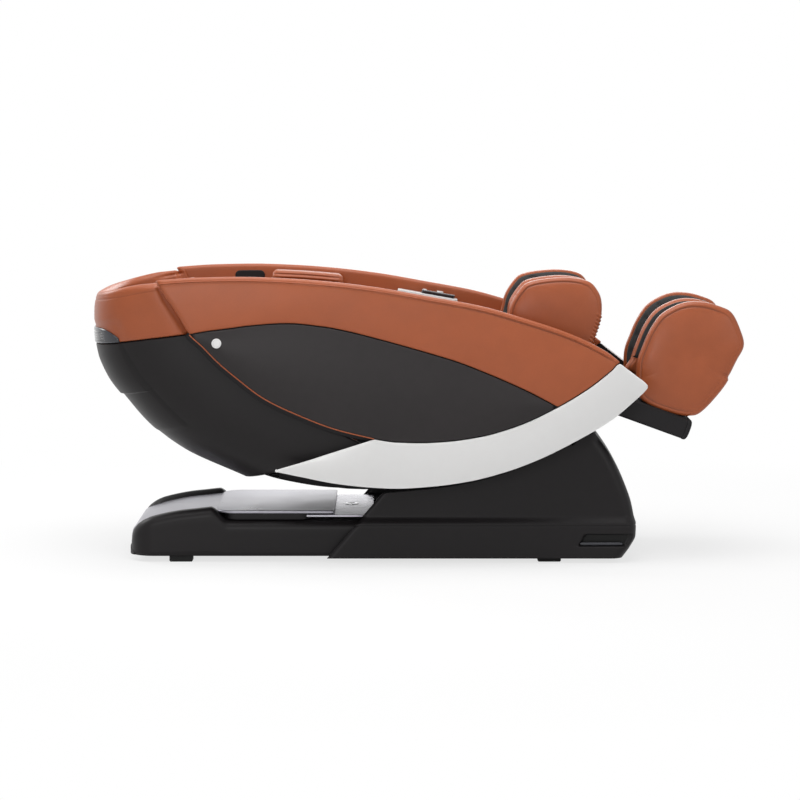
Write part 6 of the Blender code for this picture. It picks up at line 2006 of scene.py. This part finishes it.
@dataclass
class HandControl:
    """The control on the far arm: a tray, a handset with a screen, and its key."""

    pod: PodSide
    span: Span = (-0.060, 0.125)
    drop: float = 0.062
    inner: float = 0.304
    width: float = 0.058
    deck: float = 0.026
    end_gap: float = 0.010
    handset: Triple = (0.105, 0.046, 0.011)
    band: Span = (0.004, 0.016)
    key: Triple = (0.020, 0.022, 0.003)
    key_share: float = 0.55
    key_sink: float = 0.003

    def build(self) -> None:
        """Builds and dresses the control: blocks in a frame that lies along the rim."""
        first, last = self.span
        high, low = float(self.pod.rim(first)), float(self.pod.rim(last))
        fall = math.atan2(high - low, last - first)
        length = (last - first) / math.cos(fall)
        self.tilt = Tilt((first, high - self.drop + FIT), -fall)
        long, wide, thick = self.handset
        start, foot = length - long - self.end_gap, self.deck + FIT
        roof, key_at, key_half = foot + thick, start + long * self.key_share, self.key[0] / 2
        self.block("tray", (0, length), self.width, (0.0, self.deck), 0.008, 0.003, BLADE, Body.POD,
                   "control_tray")
        self.block("handset", (start, start + long), wide, (foot, roof), 0.010, 0.003, SCREEN, Body.HAND,
                   "remote")
        self.block("handset_band", (start + self.band[0], start + self.band[1]), wide - 0.008,
                   (roof - 0.001, roof + 0.0010), 0.003, 0.0006, BLADE, Body.HAND)
        self.block("handset_key", (key_at - key_half, key_at + key_half), self.key[1],
                   (roof - self.key_sink, roof + self.key[2]), 0.005, 0.0012, BLADE, Body.KEY, "remote_key")

    def block(self, name: str, span: Span, width: float, levels: Span, corner: float, edge: float,
              finish: Finish, body: Body, *nodes: str) -> None:
        """A rounded block in the tray's frame: rings of a round rectangle from its underside to its top.

        Args:
            name: The piece's name.
            span: Its start and end along the tray.
            width: Its width.
            levels: Its underside and its top.
            corner: Its corner radius in plan.
            edge: Its edge radius.
            finish: Its finish.
            body: The body that carries it.
            nodes: CAD nodes that it stands for.
        """
        outline = round_rect(*span, width / 2, corner, 120) + (0, self.inner + self.width / 2)
        settle(slab_piece(name, outline, levels, edge, 4, self.tilt), body, finish, *nodes)


@dataclass
class KeptParts:
    """CAD nodes whose own shape shows: they only get a finish."""

    finishes: tuple[tuple[Finish, tuple[str, ...]], ...] = (
        (DARK, ("side_carcass_left", "side_carcass_right", "pod_belly", "massage_carriage", "legrest_frame",
                "tilt_motor", "power_inlet")),
        (STEEL, ("seat_frame", "back_frame", "base_frame", "carriage_frame", "tilt_pin", "guide_rod_left",
                 "guide_rod_right")),
        (RUBBER, ("front_foot_left", "front_foot_right", "rear_foot_left", "rear_foot_right",
                  "transport_wheel_left", "transport_wheel_right", "massage_roller_left",
                  "massage_roller_right", "foot_roller_left", "foot_roller_right")),
        (SLIDE, ("slide_plate",)),
        (SCREEN, ("power_switch",)),
        (BLACK_LINING, ("foot_bed",)),
    )

    def dress(self) -> None:
        """Puts each finish on its nodes."""
        for finish, nodes in self.finishes:
            for node in nodes:
                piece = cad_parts[node]
                piece.data.materials.clear()
                piece.data.materials.append(finish.material())
                log.info("%s keeps its shape and wears %s", node, finish.name)


@dataclass(frozen=True)
class Lamp:
    """A square soft lamp that looks at a point."""

    name: str
    place: Triple
    target: Triple
    size: float
    power: float

    def build(self) -> None:
        """Hangs the lamp."""
        light = bpy.data.lights.new(self.name, "AREA")
        light.shape, light.size, light.energy = "SQUARE", self.size, self.power
        made = bpy.data.objects.new(self.name, light)
        made.location = self.place
        made.rotation_euler = (Vector(self.target) - Vector(self.place)).to_track_quat("-Z", "Y").to_euler()
        bpy.context.scene.collection.objects.link(made)


@dataclass
class Studio:
    """A white room with soft lamps, and the camera."""

    eye: Triple = (-0.049, -8.4, 1.278)
    pitch: float = math.radians(5.618)
    lens: float = 126.7
    sensor: float = 36.0
    ambient: float = 0.40
    floor_half: float = 30.0
    floor_grey: float = 0.86
    glow_reach: Span = (1.1, 2.6)
    glow_near: float = 0.72
    lamps: tuple[Lamp, ...] = (
        Lamp("over", (-0.2, -0.7, 3.2), (0.0, 0.0, 0.5), 2.6, 85.0),
        Lamp("front_left", (-1.25, -4.8, 1.15), (-0.55, 0.0, 0.7), 1.0, 34.0),
        Lamp("front_right", (3.2, -3.8, 1.8), (0.3, 0.0, 0.45), 1.8, 26.0),
        Lamp("rear", (0.4, 3.6, 2.2), (0.0, 0.0, 0.5), 2.4, 40.0),
        Lamp("rear_left", (-3.0, 1.6, 2.4), (0.4, 0.0, 0.6), 1.4, 40.0),
    )

    def build(self) -> None:
        """Sets the camera, lamps, world and floor."""
        scene = bpy.context.scene
        scene.view_settings.view_transform = "Standard"
        view = bpy.data.cameras.new("camera")
        view.lens, view.sensor_width = self.lens, self.sensor
        camera = bpy.data.objects.new("camera", view)
        camera.location = self.eye
        camera.rotation_euler = (QUARTER - self.pitch, 0.0, 0.0)
        scene.collection.objects.link(camera)
        scene.camera = camera
        for lamp in self.lamps:
            lamp.build()
        self.world(scene)
        self.floor()

    @staticmethod
    def seen(w: Wiring) -> Socket:
        """One where the camera or a reflection looks, else nothing."""
        path = w.node("ShaderNodeLightPath").outputs
        return w.math("MAXIMUM", path["Is Camera Ray"], path["Is Glossy Ray"])

    def world(self, scene: bpy.types.Scene) -> None:
        """White where it is seen, a soft grey where it lights.

        Args:
            scene: The scene that gets the world.
        """
        world = bpy.data.worlds.new("studio")
        world.use_nodes = True
        world.node_tree.nodes.clear()
        w = Wiring(world.node_tree)
        light = w.node("ShaderNodeBackground", {0: (1, 1, 1, 1), 1: self.ambient})
        white = w.node("ShaderNodeBackground", {0: (1, 1, 1, 1), 1: 1.0})
        mix = w.node("ShaderNodeMixShader", {0: self.seen(w), 1: light.outputs[0], 2: white.outputs[0]})
        w.node("ShaderNodeOutputWorld", {0: mix.outputs[0]})
        scene.world = world

    def floor(self) -> None:
        """A pale floor that keeps the shadow near the chair and turns white further out."""
        t = np.linspace(-self.floor_half, self.floor_half, 7)
        floor = grid_piece("floor", points_of(t, t[:, None], 0.0))
        material = bpy.data.materials.new("floor white")
        material.use_nodes = True
        material.node_tree.nodes.clear()
        w = Wiring(material.node_tree)
        paint = w.node("ShaderNodeBsdfDiffuse", {0: (self.floor_grey, self.floor_grey, self.floor_grey, 1)})
        glow = w.node("ShaderNodeEmission", {0: (1, 1, 1, 1), 1: 1.0})
        far = w.node("ShaderNodeVectorMath", {0: w.place()}, operation="LENGTH").outputs["Value"]
        share = w.math("MULTIPLY", self.seen(w), w.span(far, *self.glow_reach, self.glow_near, 1.0))
        mix = w.node("ShaderNodeMixShader", {0: share, 1: paint.outputs[0], 2: glow.outputs[0]})
        w.node("ShaderNodeOutputMaterial", {0: mix.outputs[0]})
        floor.data.materials.append(material)


def main() -> None:
    """Builds the studio and dresses the chair, piece by piece."""
    logging.basicConfig(level=logging.INFO, format="%(message)s")
    Studio().build()
    pods = [PodSide(side, sign) for side, sign in SIDES.items()]
    for pod in pods:
        pod.build()
    BackHull().build()
    Cushions().build()
    for pod in pods:
        ArmPads(pod).build()
    Legs().build()
    Base().build()
    HandControl(pods[0]).build()
    KeptParts().dress()


if __name__ == "__main__":
    main()
